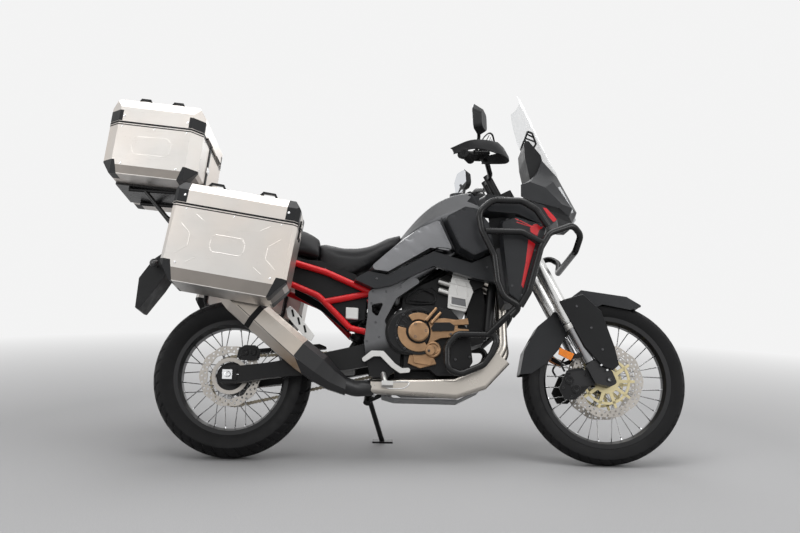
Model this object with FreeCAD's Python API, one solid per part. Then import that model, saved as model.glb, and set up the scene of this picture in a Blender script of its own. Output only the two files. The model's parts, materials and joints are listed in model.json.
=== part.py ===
import FreeCAD, Part
import os
from math import asin, atan, atan2, cos, degrees, hypot, pi, radians, sin, tan

V = FreeCAD.Vector
RIGHT, LEFT = -1, 1

# Driving dimensions of the whole machine, millimetres, upright with the rear axle above the origin
WHEELBASE = 1575.0
CASTER_DEG = 27.5
TRAIL = 113.0
HEAD_HEIGHT = 960.0
LEAN_DEG = 15.0
STEERING_LOCK_DEG = 38.0
STEERING_MARGIN_DEG = 3.0

# Wheels and tyres
FRONT_RADIUS = 347.7
FRONT_SECTION = 90.0
FRONT_BEAD_RADIUS = 266.7
FRONT_RIM_HALF = 31.0
REAR_RADIUS = 333.4
REAR_SECTION = 150.0
REAR_BEAD_RADIUS = 228.6
REAR_RIM_HALF = 50.0
RIM_FLANGE = 6.0
RIM_LIP = 13.0
RIM_WELL = 17.0
CROWN_TURNS_DEG = (-8, 21, 49, 90 - LEAN_DEG)
TYRE_FACETS = 64
SPOKE = 4.2
SPOKES = 32
SPOKE_LEAN_DEG = 38.0
AXLE_RADIUS = 12.5
AXLE_BORE = 8.5
AXLE_FIT = 0.05
FRONT_HUB_RADIUS = 27.0
FRONT_FLANGE_RADIUS = 44.0
FRONT_FLANGE_OUT = 42.0
REAR_HUB_RADIUS = 38.0
REAR_FLANGE_RADIUS = 62.0
REAR_FLANGE_OUT = 46.0
HUB_FLANGE = 6.0
HUB_SPACER_RADIUS = 18.0

# Brakes and final drive
FRONT_DISC_RADIUS = 155.0
FRONT_DISC_INNER = 118.0
FRONT_CARRIER_OUT = 62.0
REAR_DISC_RADIUS = 128.0
REAR_DISC_INNER = 92.0
REAR_DISC_OUT = 86.0
DISC_THICKNESS = 5.0
DISC_WAVES = 10
PAD_GAP = 1.0
REAR_CALIPER_LENGTH = 78.0
REAR_CALIPER_WIDTH = 50.0
REAR_CALIPER_HEIGHT = 48.0
FRONT_CALIPER_DEPTH = 52.0
FRONT_CALIPER_WIDTH = 49.0
FRONT_CALIPER_HEIGHT = 104.0
CALIPER_LUG = 11.0
WAVE_DEPTH = 5.0
CHAIN_PITCH = 15.875
REAR_TEETH = 42
FRONT_TEETH = 16
CHAIN_OUT = 92.0
CHAIN_WIDTH = 19.0
CHAIN_HEIGHT = 14.5
LINK_WAIST = 3.2
SPROCKET_THICKNESS = 7.0
SPROCKET_GAP = 1.2
SPROCKET_WINDOWS = 6
RUNNING_GAP = 5.5
SEAT_GAP = 0.3

# Fork and steering, measured up the steering axis from the ground and ahead of it
FORK_HALF_SPREAD = 105.0
FORK_AHEAD = 30.0
OUTER_TUBE_RADIUS = 29.0
INNER_TUBE_RADIUS = 24.0
OUTER_TUBE_FOOT = 655.0
FORK_TOP = 1262.0
LOWER_CLAMP_UP = 1000.0
UPPER_CLAMP_UP = 1232.0
CLAMP_HEIGHT = 34.0
FENDER_GAP = 9.0
FENDER_WALL = 5.0
FENDER_BOSS_UP = 715.0
STAY_RADIUS = 12.0
STAY_LENGTH = 215.0
STEM_RADIUS = 17.0
HEAD_TUBE_RADIUS = 33.0
HEAD_TUBE_LENGTH = 172.0
BAR_UP = 1372.0
BAR_RADIUS = 14.0
BAR_HALF_WIDTH = 455.0
GRIP_RADIUS = 17.5
GRIP_LENGTH = 128.0
MIRROR_WIDTH = 158.0
MIRROR_HEIGHT = 108.0
MIRROR_STALK = 7.0

# Frame and load carriers
FRAME_TUBE = 19.0
SUBFRAME_TUBE = 13.0
RACK_TUBE = 9.0
CRASH_TUBE = 13.5
PLATE_OUT = 150.0
PLATE_THICKNESS = 18.0
SUBFRAME_OUT = 135.0
ARM_INNER = 110.0
ARM_THICKNESS = 36.0
PIVOT_SHARES = (0.554, 0.460)
SPRING_TURNS = 6

# Luggage
BOX_WALL = 3.0
LID_CLEARANCE = 0.3
HINGE_RADIUS = 5.0
HINGE_PIN = 2.0
OVERRUN = 1.0
HINGE_LENGTH_SHARE = 0.62
LATCH_WIDTH = 34.0
LATCH_THICKNESS = 7.0
PANNIER_LENGTH = 496.0
PANNIER_DEPTH = 314.0
PANNIER_LID = 86.0
PANNIER_OUT = 492.0
PANNIER_IN = 285.0
PANNIER_PITCH_DEG = 8.9
TOP_CASE_LENGTH = 400.0
TOP_CASE_WIDTH = 540.0
TOP_CASE_DEPTH = 232.0
TOP_CASE_LID = 104.0
TOP_CASE_PITCH_DEG = 5.5
CORNER_CHAMFER = 46.0

# Engine
CRANKCASE_HALF = 150.0
CLUTCH_RADIUS = 95.0
CAP_RADIUS = 42.0
STUB_RADIUS = 13.0
CLUTCH_COVER_OUT = 205.0
CYLINDER_HALF = 112.0
HEADER_RADIUS = 21.0
COLLECTOR_OUT = 112.0
COLLECTOR_RADIUS = 36.0
PIPE_RADIUS = 33.0
MUFFLER_LENGTH = 455.0
MUFFLER_HEIGHT = 122.0
MUFFLER_CLIMB_DEG = 39.5
MUFFLER_WIDTH = 104.0
MUFFLER_OUT = 205.0

# Side stand
STAND_OUT = 150.0
STAND_REACH = 395.0
STAND_AHEAD_SHARE = 0.5386
STAND_TUBE = 14.0
STAND_PIN = 6.0
STAND_EYE_LENGTH = 26.0
STAND_FOOT_LENGTH = 92.0
STAND_FOOT_WIDTH = 52.0
STAND_FOOT_THICKNESS = 8.0

# Foot controls
PEG_LENGTH = 92.0
PEDAL_THICKNESS = 13.0

# Body panels
SEAT_HALF_WIDTH = 142.0
TANK_HALF_WIDTH = 178.0
PANEL_OUT = 196.0
COVER_OUT = 186.0
SHROUD_OUT = 292.0
PANEL_THICKNESS = 14.0
EDGE_RADIUS = 6.0
SCREEN_THICKNESS = 4.0
LAMP_SWEEP = 34.0

caster, lean = radians(CASTER_DEG), radians(LEAN_DEG)
STEER_UP = V(-sin(caster), 0, cos(caster))
STEER_AHEAD = V(cos(caster), 0, sin(caster))
STEER_FOOT = V(WHEELBASE + TRAIL, 0, 0)
HEAD_REACH = WHEELBASE + TRAIL - HEAD_HEIGHT * tan(caster)
FRONT_AXLE = V(WHEELBASE, 0, FRONT_RADIUS)
REAR_AXLE = V(0, 0, REAR_RADIUS)
AXLE_UP = (FRONT_AXLE - STEER_FOOT).dot(STEER_UP)
AXLE_AHEAD = (FRONT_AXLE - STEER_FOOT).dot(STEER_AHEAD)
AXIS_Y = V(0, 1, 0)
ORIGIN = V(0, 0, 0)


def at(x_share, z_share, out=0.0, side=RIGHT):
    """A place on the upright machine, in shares of the steering head's reach and height."""
    return V(x_share * HEAD_REACH, side * out, z_share * HEAD_HEIGHT)


def fork_at(up, ahead=0.0, out=0.0, side=LEFT):
    """A place measured up the steering axis, ahead of it and out to one side."""
    return STEER_FOOT + STEER_UP * up + STEER_AHEAD * ahead + V(0, side * out, 0)


def unit(vector):
    return V(vector).normalize()


def rounded(points, radius, closed=True):
    """A wire of straight runs joined by tangent arcs, each arc limited by its runs."""
    count = len(points)
    radii = radius if isinstance(radius, (list, tuple)) else [radius] * count
    joints = []
    for index, here in enumerate(points):
        if radii[index] <= 0 or (not closed and index in (0, count - 1)):
            joints.append((here, None, here))
            continue
        back = points[index - 1] - here
        onward = points[(index + 1) % count] - here
        half_turn = (pi - back.getAngle(onward)) / 2
        reach = min(radii[index] * tan(half_turn), 0.48 * back.Length, 0.48 * onward.Length)
        bow = reach / tan(half_turn)
        middle = unit(unit(back) + unit(onward)) * (bow / cos(half_turn) - bow)
        joints.append((here + unit(back) * reach, here + middle, here + unit(onward) * reach))
    edges = []
    for index, (start, middle, end) in enumerate(joints):
        if middle is not None:
            edges.append(Part.Arc(start, middle, end).toShape())
        if index < count - 1 or closed:
            target = joints[(index + 1) % count][0]
            edges.append(Part.LineSegment(end, target).toShape())
    return Part.Wire(edges)


def prism(points, thickness, radius=0.0):
    """A flat outline given thickness along Y, from its own plane towards +Y if positive."""
    return Part.Face(rounded(points, radius)).extrude(V(0, thickness, 0))


def bar(points, radius, bend):
    """A round bar along straight runs and tangent bends."""
    path = rounded(points, bend, closed=False)
    ring = Part.Wire([Part.makeCircle(radius, points[0], points[1] - points[0])])
    return path.makePipeShell([ring], True, False)


def rod(start, end, radius):
    return Part.makeCylinder(radius, (end - start).Length, start, end - start)


def spun(profile, centre, radius=0.0):
    """A solid of revolution about the lateral line through a centre, from (radius, offset) pairs."""
    points = [centre + V(0, offset, reach) for reach, offset in profile]
    return Part.Face(rounded(points, radius)).revolve(centre, AXIS_Y, 360)


def ring(centre, outer, inner, near, far):
    return spun([(inner, near), (outer, near), (outer, far), (inner, far)], centre)


def loft(sections, ruled=False):
    return Part.makeLoft(sections, True, ruled)


def cross_section(x, low, high, low_half, high_half, radius):
    """A rounded trapezium across the machine at one station."""
    corners = [V(x, -low_half, low), V(x, low_half, low), V(x, high_half, high), V(x, -high_half, high)]
    return rounded(corners, radius)


def outline(shares, out, side, inset=0.0):
    """An outline in shares at one distance out, drawn in towards its middle by an inset."""
    points = [at(x_share, z_share, out, side) for x_share, z_share in shares]
    middle = ORIGIN
    for point in points:
        middle = middle + point * (1 / len(points))
    return [point - unit(point - middle) * inset for point in points]


def panel(shares, near, far, side, inset, radius):
    """A body panel: an outline that narrows by an inset from its inner to its outer face."""
    inner = rounded(outline(shares, near, side), radius)
    outer = rounded(outline(shares, far, side, inset), radius)
    return loft([inner, outer], True)


def both_sides(make):
    """One piece for each side of the machine, kept as separate solids."""
    return Part.makeCompound([make(RIGHT), make(LEFT)])


def fuse(pieces):
    return pieces[0].fuse(list(pieces[1:])).removeSplitter()


REAR_DROP = REAR_SECTION / 2 * (1 - cos(lean))
FRONT_DROP = FRONT_SECTION / 2 * (1 - cos(lean))
SETTLE_DEG = degrees(atan((REAR_DROP - FRONT_DROP) / WHEELBASE))


def parked(shape):
    """Lean the upright machine onto its stand, both tyres on the ground."""
    placed = shape.copy()
    placed.rotate(ORIGIN, V(1, 0, 0), -LEAN_DEG)
    placed.rotate(ORIGIN, AXIS_Y, SETTLE_DEG)
    placed.translate(V(0, 0, REAR_DROP))
    return placed


def upright(shape):
    """The reverse: from the ground's frame back to the upright machine's."""
    placed = shape.copy()
    placed.translate(V(0, 0, -REAR_DROP))
    placed.rotate(ORIGIN, AXIS_Y, -SETTLE_DEG)
    placed.rotate(ORIGIN, V(1, 0, 0), LEAN_DEG)
    return placed


def upright_point(point):
    return upright(Part.Vertex(point)).Point


# Wheels
def faceted(profile, centre, count):
    """A ring of flat facets about the lateral line: its profile's points are repeated round it, lowest first."""
    rows = []
    for step in range(count):
        turn = 2 * pi * step / count - pi / 2
        rows.append([centre + V(reach * cos(turn), offset, reach * sin(turn)) for reach, offset in profile])
    faces = []
    for row, following in zip(rows, rows[1:] + rows[:1]):
        for a, b, c, d in zip(row, row[1:] + row[:1], following[1:] + following[:1], following):
            faces.append(Part.Face(Part.makePolygon([a, b, c, d, a])))
    return Part.Solid(Part.Shell(faces))


def tyre(centre, radius, section, bead_radius, rim_half):
    """Crown of straight facets, plain side walls, and a bead that seats inside the rim's lips."""
    crown = section / 2
    flat_to_corner = 1 / cos(pi / TYRE_FACETS)
    bead = (bead_radius + SEAT_GAP) * flat_to_corner
    lip = (bead_radius + RIM_LIP + SEAT_GAP) * flat_to_corner
    inside = rim_half - SEAT_GAP
    half = [(bead, inside), (lip, inside)]
    half += [(radius - crown + crown * sin(radians(turn)), crown * cos(radians(turn)))
             for turn in CROWN_TURNS_DEG]
    profile = half + [(radius, 0)] + [(reach, -offset) for reach, offset in reversed(half)]
    return faceted(profile, centre, TYRE_FACETS)


def rim(centre, bead_radius, half):
    """A lipped rim with a dropped well."""
    edge = half + RIM_FLANGE
    right = [(bead_radius + RIM_LIP, edge), (bead_radius + RIM_LIP, half), (bead_radius, half),
             (bead_radius, half * 0.78), (bead_radius - RIM_WELL + RIM_FLANGE, half * 0.5)]
    under = [(bead_radius - RIM_WELL, half * 0.5), (bead_radius - RIM_FLANGE, edge)]
    profile = right + [(reach, -offset) for reach, offset in reversed(right)]
    profile += [(reach, -offset) for reach, offset in reversed(under)] + under
    return spun(profile, centre)


def hub(centre, radius, flange_radius, flange_out, half_length):
    """A barrel with two spoke flanges, bored for its axle."""
    bore = AXLE_RADIUS + AXLE_FIT
    half_profile = [(bore, half_length), (HUB_SPACER_RADIUS, half_length),
                    (HUB_SPACER_RADIUS, flange_out + HUB_FLANGE), (flange_radius, flange_out + HUB_FLANGE),
                    (flange_radius, flange_out), (radius, flange_out - HUB_FLANGE)]
    profile = half_profile + [(reach, -offset) for reach, offset in reversed(half_profile)]
    return spun(profile, centre)


def spokes(centre, flange_radius, flange_out, rim_radius, rim_out):
    """Crossed wire spokes, leaning in turn each way, from flange to rim."""
    wires = []
    for index in range(SPOKES):
        angle = 2 * pi * (index + 0.5) / SPOKES
        side = RIGHT if index % 2 else LEFT
        swing = radians(SPOKE_LEAN_DEG) * (1 if index % 4 < 2 else -1)
        root = V(sin(angle + swing), 0, cos(angle + swing)) * (flange_radius - SPOKE)
        tip = V(sin(angle), 0, cos(angle)) * (rim_radius - RIM_WELL + RIM_FLANGE / 2)
        start = centre + root + V(0, side * (flange_out + HUB_FLANGE / 2), 0)
        end = centre + tip + V(0, side * rim_out, 0)
        across = unit((end - start).cross(AXIS_Y)) * (SPOKE / 2)
        beside = unit((end - start).cross(across)) * (SPOKE / 2)
        square = [start + across, start + beside, start - across, start - beside, start + across]
        wires.append(Part.Face(Part.makePolygon(square)).extrude(end - start))
    return wires


def wire_wheel(centre, bead_radius, rim_half, hub_solid, flange_radius, flange_out):
    wires = spokes(centre, flange_radius, flange_out, bead_radius, rim_half * 0.3)
    return fuse([rim(centre, bead_radius, rim_half), hub_solid] + wires)


def wave_disc(centre, outer, inner, near, thickness):
    """A brake disc with a scalloped rim."""
    disc = ring(centre, outer, inner, near, near + thickness)
    notch_radius = outer * 0.26
    notches = []
    for index in range(DISC_WAVES):
        angle = 2 * pi * index / DISC_WAVES
        reach = outer + notch_radius - WAVE_DEPTH
        middle = centre + V(sin(angle) * reach, near - thickness, cos(angle) * reach)
        notches.append(Part.makeCylinder(notch_radius, thickness * 3, middle, AXIS_Y))
    return disc.cut(notches)


def disc_carrier(centre, outer, inner, near, thickness):
    """The spider that joins a floating disc to its hub."""
    arms = []
    for index in range(DISC_WAVES):
        angle = 2 * pi * (index + 0.5) / DISC_WAVES
        direction = V(sin(angle), 0, cos(angle))
        across = direction.cross(AXIS_Y) * thickness
        start = centre + direction * (inner * 1.1) + V(0, near, 0)
        end = centre + direction * (outer + WAVE_DEPTH) + V(0, near, 0)
        corners = [start + across * 1.6, start - across * 1.6, end - across, end + across]
        arms.append(prism(corners, thickness))
    return fuse([ring(centre, inner * 1.2, inner * 0.62, near, near + thickness)] + arms)


FRONT_HUB_HALF = FORK_HALF_SPREAD - INNER_TUBE_RADIUS - SEAT_GAP


def front_tyre():
    return tyre(FRONT_AXLE, FRONT_RADIUS, FRONT_SECTION, FRONT_BEAD_RADIUS, FRONT_RIM_HALF)


def front_wheel_rim():
    barrel = hub(FRONT_AXLE, FRONT_HUB_RADIUS, FRONT_FLANGE_RADIUS, FRONT_FLANGE_OUT, FRONT_HUB_HALF)
    return wire_wheel(FRONT_AXLE, FRONT_BEAD_RADIUS, FRONT_RIM_HALF, barrel,
                      FRONT_FLANGE_RADIUS, FRONT_FLANGE_OUT)


def front_discs():
    near = FRONT_CARRIER_OUT
    right = wave_disc(FRONT_AXLE, FRONT_DISC_RADIUS, FRONT_DISC_INNER, -near - DISC_THICKNESS, DISC_THICKNESS)
    left = wave_disc(FRONT_AXLE, FRONT_DISC_RADIUS, FRONT_DISC_INNER, near, DISC_THICKNESS)
    return Part.makeCompound([right, left])


def front_disc_carriers():
    """Spiders of both front discs, seated on the hub's flanges."""
    near = FRONT_CARRIER_OUT
    inner = FRONT_FLANGE_RADIUS
    solids = []
    for side, start in ((RIGHT, -near - DISC_THICKNESS), (LEFT, near)):
        spider = disc_carrier(FRONT_AXLE, FRONT_DISC_INNER - WAVE_DEPTH, inner, start, DISC_THICKNESS)
        seat = sorted((side * (FRONT_FLANGE_OUT + HUB_FLANGE), side * near))
        boss = ring(FRONT_AXLE, inner, inner * 0.7, seat[0], seat[1])
        solids.append(fuse([spider, boss]))
    disc_cutter = front_discs()
    return Part.makeCompound([solid.cut(disc_cutter) for solid in solids])


def rear_tyre():
    return tyre(REAR_AXLE, REAR_RADIUS, REAR_SECTION, REAR_BEAD_RADIUS, REAR_RIM_HALF)


REAR_HUB_HALF = ARM_INNER - SEAT_GAP


def rear_wheel_rim():
    barrel = hub(REAR_AXLE, REAR_HUB_RADIUS, REAR_FLANGE_RADIUS, REAR_FLANGE_OUT, REAR_HUB_HALF)
    return wire_wheel(REAR_AXLE, REAR_BEAD_RADIUS, REAR_RIM_HALF, barrel,
                      REAR_FLANGE_RADIUS, REAR_FLANGE_OUT)


def rear_disc():
    outer = wave_disc(REAR_AXLE, REAR_DISC_RADIUS, REAR_DISC_INNER, -REAR_DISC_OUT - DISC_THICKNESS,
                      DISC_THICKNESS)
    spider = disc_carrier(REAR_AXLE, REAR_DISC_INNER, REAR_FLANGE_RADIUS * 0.7,
                          -REAR_DISC_OUT - DISC_THICKNESS, DISC_THICKNESS)
    boss = ring(REAR_AXLE, REAR_FLANGE_RADIUS * 0.7, HUB_SPACER_RADIUS + AXLE_FIT,
                -REAR_DISC_OUT, -REAR_FLANGE_OUT - HUB_FLANGE)
    return fuse([outer, spider, boss])


def pitch_radius(teeth):
    return CHAIN_PITCH / (2 * sin(pi / teeth))


def sprocket_solid(centre, teeth, tip, root, bore, near):
    """A toothed disc whose teeth are pointed blocks standing on the root circle."""
    points = []
    for index in range(teeth):
        for step, reach in ((-0.32, root), (-0.1, tip), (0.1, tip), (0.32, root)):
            angle = 2 * pi * (index + step) / teeth
            points.append(centre + V(sin(angle) * reach, near, cos(angle) * reach))
    blank = Part.Face(Part.makePolygon(points + [points[0]])).extrude(V(0, SPROCKET_THICKNESS, 0))
    hole = Part.makeCylinder(bore, SPROCKET_THICKNESS * 3, centre + V(0, near - SPROCKET_THICKNESS, 0),
                             AXIS_Y)
    return blank.cut(hole)


def rear_sprocket():
    """The driven sprocket with lightening holes, on its boss."""
    near = CHAIN_OUT - SPROCKET_THICKNESS / 2
    tip = pitch_radius(REAR_TEETH) - CHAIN_HEIGHT / 2 - SPROCKET_GAP
    wheel = sprocket_solid(REAR_AXLE, REAR_TEETH, tip, tip - CHAIN_HEIGHT / 2, HUB_SPACER_RADIUS + AXLE_FIT,
                           near)
    windows = []
    for index in range(SPROCKET_WINDOWS):
        angle = 2 * pi * index / SPROCKET_WINDOWS
        reach = (tip - CHAIN_HEIGHT / 2 + REAR_FLANGE_RADIUS * 0.85) / 2
        middle = REAR_AXLE + V(sin(angle) * reach, near - SPROCKET_THICKNESS, cos(angle) * reach)
        windows.append(Part.makeCylinder(tip * 0.12, SPROCKET_THICKNESS * 3, middle, AXIS_Y))
    boss = ring(REAR_AXLE, REAR_FLANGE_RADIUS * 0.85, HUB_SPACER_RADIUS + AXLE_FIT,
                REAR_FLANGE_OUT + HUB_FLANGE, near)
    return fuse([wheel.cut(windows), boss])


FRONT_SPROCKET = at(0.627, 0.462)


def chain_outline(grow):
    """The closed line round both sprockets at the pitch line, moved out by an amount."""
    big = pitch_radius(REAR_TEETH) + grow
    small = pitch_radius(FRONT_TEETH) + grow
    span = FRONT_SPROCKET - REAR_AXLE
    slope = asin((big - small) / span.Length)
    ahead = unit(V(span.x, 0, span.z))
    up = V(-ahead.z, 0, ahead.x)
    top = up * cos(slope) + ahead * sin(slope)
    bottom = up * -cos(slope) + ahead * sin(slope)
    rear, front = REAR_AXLE, V(FRONT_SPROCKET.x, 0, FRONT_SPROCKET.z)
    edges = [Part.LineSegment(rear + top * big, front + top * small).toShape(),
             Part.Arc(front + top * small, front + ahead * small, front + bottom * small).toShape(),
             Part.LineSegment(front + bottom * small, rear + bottom * big).toShape(),
             Part.Arc(rear + bottom * big, rear - ahead * big, rear + top * big).toShape()]
    return Part.Wire(edges)


def link_line(grow, waist):
    """The chain's edge as its link plates draw it: full at each pin, waisted between two pins."""
    path = chain_outline(grow)
    links = 2 * round(path.Length / CHAIN_PITCH / 2)
    full, drawn_in = chain_outline(grow), chain_outline(waist)
    pins = full.discretize(Number=links * 2 + 1)[:-1]
    waists = drawn_in.discretize(Number=links * 2 + 1)[:-1]
    points = [waists[index] if index % 2 else pins[index] for index in range(len(pins))]
    return Part.makePolygon(points + [points[0]])


def drive_chain():
    """The whole chain as one closed loop round both sprockets, its links in its outline."""
    half = CHAIN_HEIGHT / 2
    plates = Part.Face(link_line(half, half - LINK_WAIST)).cut(Part.Face(link_line(-half, LINK_WAIST - half)))
    plates.translate(V(0, CHAIN_OUT - CHAIN_WIDTH / 2, 0))
    return plates.extrude(V(0, CHAIN_WIDTH, 0))


# Rolling chassis
def main_frame():
    """Head tube, twin spars, down tubes and the cast plates that hold the swingarm pivot."""
    head_low = fork_at(LOWER_CLAMP_UP + CLAMP_HEIGHT + RUNNING_GAP)
    head_high = head_low + STEER_UP * HEAD_TUBE_LENGTH
    stay_up = LOWER_CLAMP_UP + CLAMP_HEIGHT + HEAD_TUBE_LENGTH / 2
    pieces = [rod(head_low, head_high, HEAD_TUBE_RADIUS),
              rod(fork_at(stay_up), fork_at(stay_up, STAY_LENGTH), STAY_RADIUS)]
    spar_shares = [(0.975, 1.04), (0.80, 0.925), (0.625, 0.785), (0.565, 0.72)]
    down_shares = [(0.972, 1.02), (0.915, 0.75), (0.90, 0.56)]
    for side in (RIGHT, LEFT):
        spar_out = [HEAD_TUBE_RADIUS * 0.4, PLATE_OUT * 0.86, PLATE_OUT, PLATE_OUT]
        spar = [at(x, z, out, side) for (x, z), out in zip(spar_shares, spar_out)]
        down_out = [HEAD_TUBE_RADIUS * 0.4, PLATE_OUT * 0.62, PLATE_OUT * 0.72]
        down = [at(x, z, out, side) for (x, z), out in zip(down_shares, down_out)]
        pieces.append(bar(spar, FRAME_TUBE, FRAME_TUBE * 5))
        pieces.append(bar(down, FRAME_TUBE, FRAME_TUBE * 5))
        pieces.append(pivot_plate(side))
    for (x_share, z_share), radius in (((0.575, 0.735), FRAME_TUBE), (PIVOT_SHARES, AXLE_RADIUS)):
        pieces.append(rod(at(x_share, z_share, PLATE_OUT + PLATE_THICKNESS, RIGHT),
                          at(x_share, z_share, PLATE_OUT + PLATE_THICKNESS, LEFT), radius))
    bearing = rod(head_low - STEER_UP * FRAME_TUBE, head_high + STEER_UP * FRAME_TUBE, STEM_RADIUS + SEAT_GAP)
    return fuse(pieces).cut(bearing)


def pivot_plate(side):
    """The cast side plate, with its three-cornered window."""
    plate_shares = [(0.477, 0.716), (0.504, 0.738), (0.56, 0.757), (0.64, 0.785), (0.66, 0.765),
                    (0.575, 0.69),
                    (0.535, 0.59), (0.56, 0.52), (0.595, 0.47), (0.59, 0.40), (0.55, 0.345), (0.49, 0.345),
                    (0.475, 0.42), (0.466, 0.50), (0.475, 0.60)]
    window_shares = [(0.489, 0.660), (0.532, 0.671), (0.510, 0.606), (0.491, 0.627)]
    near = min(side * PLATE_OUT, side * (PLATE_OUT + PLATE_THICKNESS))
    plate = prism([V(p.x, near, p.z) for p in outline(plate_shares, 0, side)], PLATE_THICKNESS, FRAME_TUBE)
    window = prism([V(p.x, near - PLATE_THICKNESS, p.z) for p in outline(window_shares, 0, side)],
                   PLATE_THICKNESS * 3, FRAME_TUBE * 0.4)
    return plate.cut(window)


def subframe():
    """The bolted rear frame: upper and lower rails with a cross strut each side."""
    upper_shares = [(0.482, 0.722), (0.326, 0.805), (0.10, 0.885), (-0.17, 0.955)]
    lower_shares = [(0.415, 0.560), (0.300, 0.700), (0.10, 0.80), (-0.17, 0.875)]
    strut_shares = [(0.482, 0.715), (0.318, 0.672)]
    pieces = []
    for side in (RIGHT, LEFT):
        upper = [at(x, z, SUBFRAME_OUT, side) for x, z in upper_shares]
        lower = [at(x, z, SUBFRAME_OUT, side) for x, z in lower_shares]
        strut = [at(x, z, SUBFRAME_OUT, side) for x, z in strut_shares]
        foot = [lower[0], at(0.49, 0.54, SUBFRAME_OUT, side)]
        pieces += [bar(upper, SUBFRAME_TUBE, SUBFRAME_TUBE * 6), bar(lower, SUBFRAME_TUBE, SUBFRAME_TUBE * 6),
                   rod(strut[0], strut[1], SUBFRAME_TUBE), rod(foot[0], foot[1], SUBFRAME_TUBE),
                   rod(upper[3], lower[3], SUBFRAME_TUBE)]
    for x_share, z_share in ((0.24, 0.836), (-0.17, 0.955), (-0.17, 0.875)):
        pieces.append(rod(at(x_share, z_share, SUBFRAME_OUT, RIGHT), at(x_share, z_share, SUBFRAME_OUT, LEFT),
                          SUBFRAME_TUBE))
    return fuse(pieces)


def swingarm():
    """Two deep arms joined by a brace ahead of the tyre, with axle blocks and the axle."""
    arm_shares = [(-0.035, 0.345), (-0.022, 0.372), (0.02, 0.383), (0.137, 0.402), (0.33, 0.450),
                  (0.50, 0.500),
                  (0.575, 0.505), (0.59, 0.455), (0.56, 0.415), (0.42, 0.380), (0.25, 0.350), (0.137, 0.336),
                  (0.02, 0.310), (-0.028, 0.308)]
    pieces = []
    for side in (RIGHT, LEFT):
        near = min(side * ARM_INNER, side * (ARM_INNER + ARM_THICKNESS))
        pieces.append(prism([V(p.x, near, p.z) for p in outline(arm_shares, 0, side)], ARM_THICKNESS,
                            FRAME_TUBE))
        block_low = REAR_AXLE + V(-AXLE_RADIUS * 2.2, side * (ARM_INNER + ARM_THICKNESS), -AXLE_RADIUS * 1.8)
        block = Part.makeBox(AXLE_RADIUS * 5, HUB_FLANGE, AXLE_RADIUS * 3.6,
                             block_low if side > 0 else block_low - V(0, HUB_FLANGE, 0))
        pieces.append(block)
    brace_shares = [(0.345, 0.375), (0.345, 0.445), (0.41, 0.462), (0.45, 0.43), (0.43, 0.385)]
    brace = prism([V(p.x, -ARM_INNER, p.z) for p in outline(brace_shares, 0, LEFT)], ARM_INNER * 2,
                  FRAME_TUBE * 0.6)
    pieces.append(brace)
    reach = ARM_INNER + ARM_THICKNESS + HUB_FLANGE * 2
    pieces.append(rod(REAR_AXLE - AXIS_Y * reach, REAR_AXLE + AXIS_Y * reach, AXLE_RADIUS))
    tube = rod(REAR_AXLE - AXIS_Y * reach * 2, REAR_AXLE + AXIS_Y * reach * 2, AXLE_BORE)
    pivot = rod(at(*PIVOT_SHARES, reach, RIGHT), at(*PIVOT_SHARES, reach, LEFT), AXLE_RADIUS + AXLE_FIT)
    return fuse(pieces).cut([tube, pivot])


def shock_absorber():
    """Spring and damper between the swingarm's brace and the frame's cross tube."""
    low = at(0.405, 0.462)
    high = at(0.545, 0.74)
    axis = unit(high - low)
    length = (high - low).Length - FRAME_TUBE
    profile = [(0, 0), (FRAME_TUBE * 0.7, 0), (FRAME_TUBE * 0.7, length * 0.2),
               (FRAME_TUBE * 1.9, length * 0.22)]
    for index in range(SPRING_TURNS):
        start = length * (0.24 + 0.56 * index / SPRING_TURNS)
        step = length * 0.56 / SPRING_TURNS
        profile += [(FRAME_TUBE * 1.8, start + step * 0.25), (FRAME_TUBE * 1.8, start + step * 0.6),
                    (FRAME_TUBE * 1.35, start + step * 0.8)]
    profile += [(FRAME_TUBE * 1.8, length * 0.82), (FRAME_TUBE * 1.8, length * 0.9),
                (FRAME_TUBE, length * 0.92),
                (FRAME_TUBE, length), (0, length)]
    across = unit(axis.cross(AXIS_Y))
    points = [low + axis * along + across * reach for reach, along in profile]
    return Part.Face(Part.makePolygon(points + [points[0]])).revolve(low, axis, 360)


def chain_guard():
    """The strip over the chain's upper run and the shield below it."""
    guard_shares = [(0.0, 0.475), (0.06, 0.492), (0.30, 0.522), (0.34, 0.502), (0.30, 0.498), (0.06, 0.472)]
    near = REAR_SECTION / 2 + RUNNING_GAP
    strip = prism([V(p.x, near, p.z) for p in outline(guard_shares, 0, LEFT)], CHAIN_WIDTH * 1.6, HUB_FLANGE)
    foot = Part.makeBox(FRAME_TUBE, ARM_INNER + FRAME_TUBE - near, FRAME_TUBE * 3.2,
                        at(0.27, 0.436, near, LEFT))
    clear = Part.Face(chain_outline(CHAIN_HEIGHT / 2 + RUNNING_GAP))
    clear.translate(V(0, CHAIN_OUT - CHAIN_WIDTH, 0))
    clear = clear.extrude(V(0, CHAIN_WIDTH * 2 - SEAT_GAP, 0))
    arm = swingarm()
    return fuse([strip, foot]).cut([clear, arm])


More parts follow.
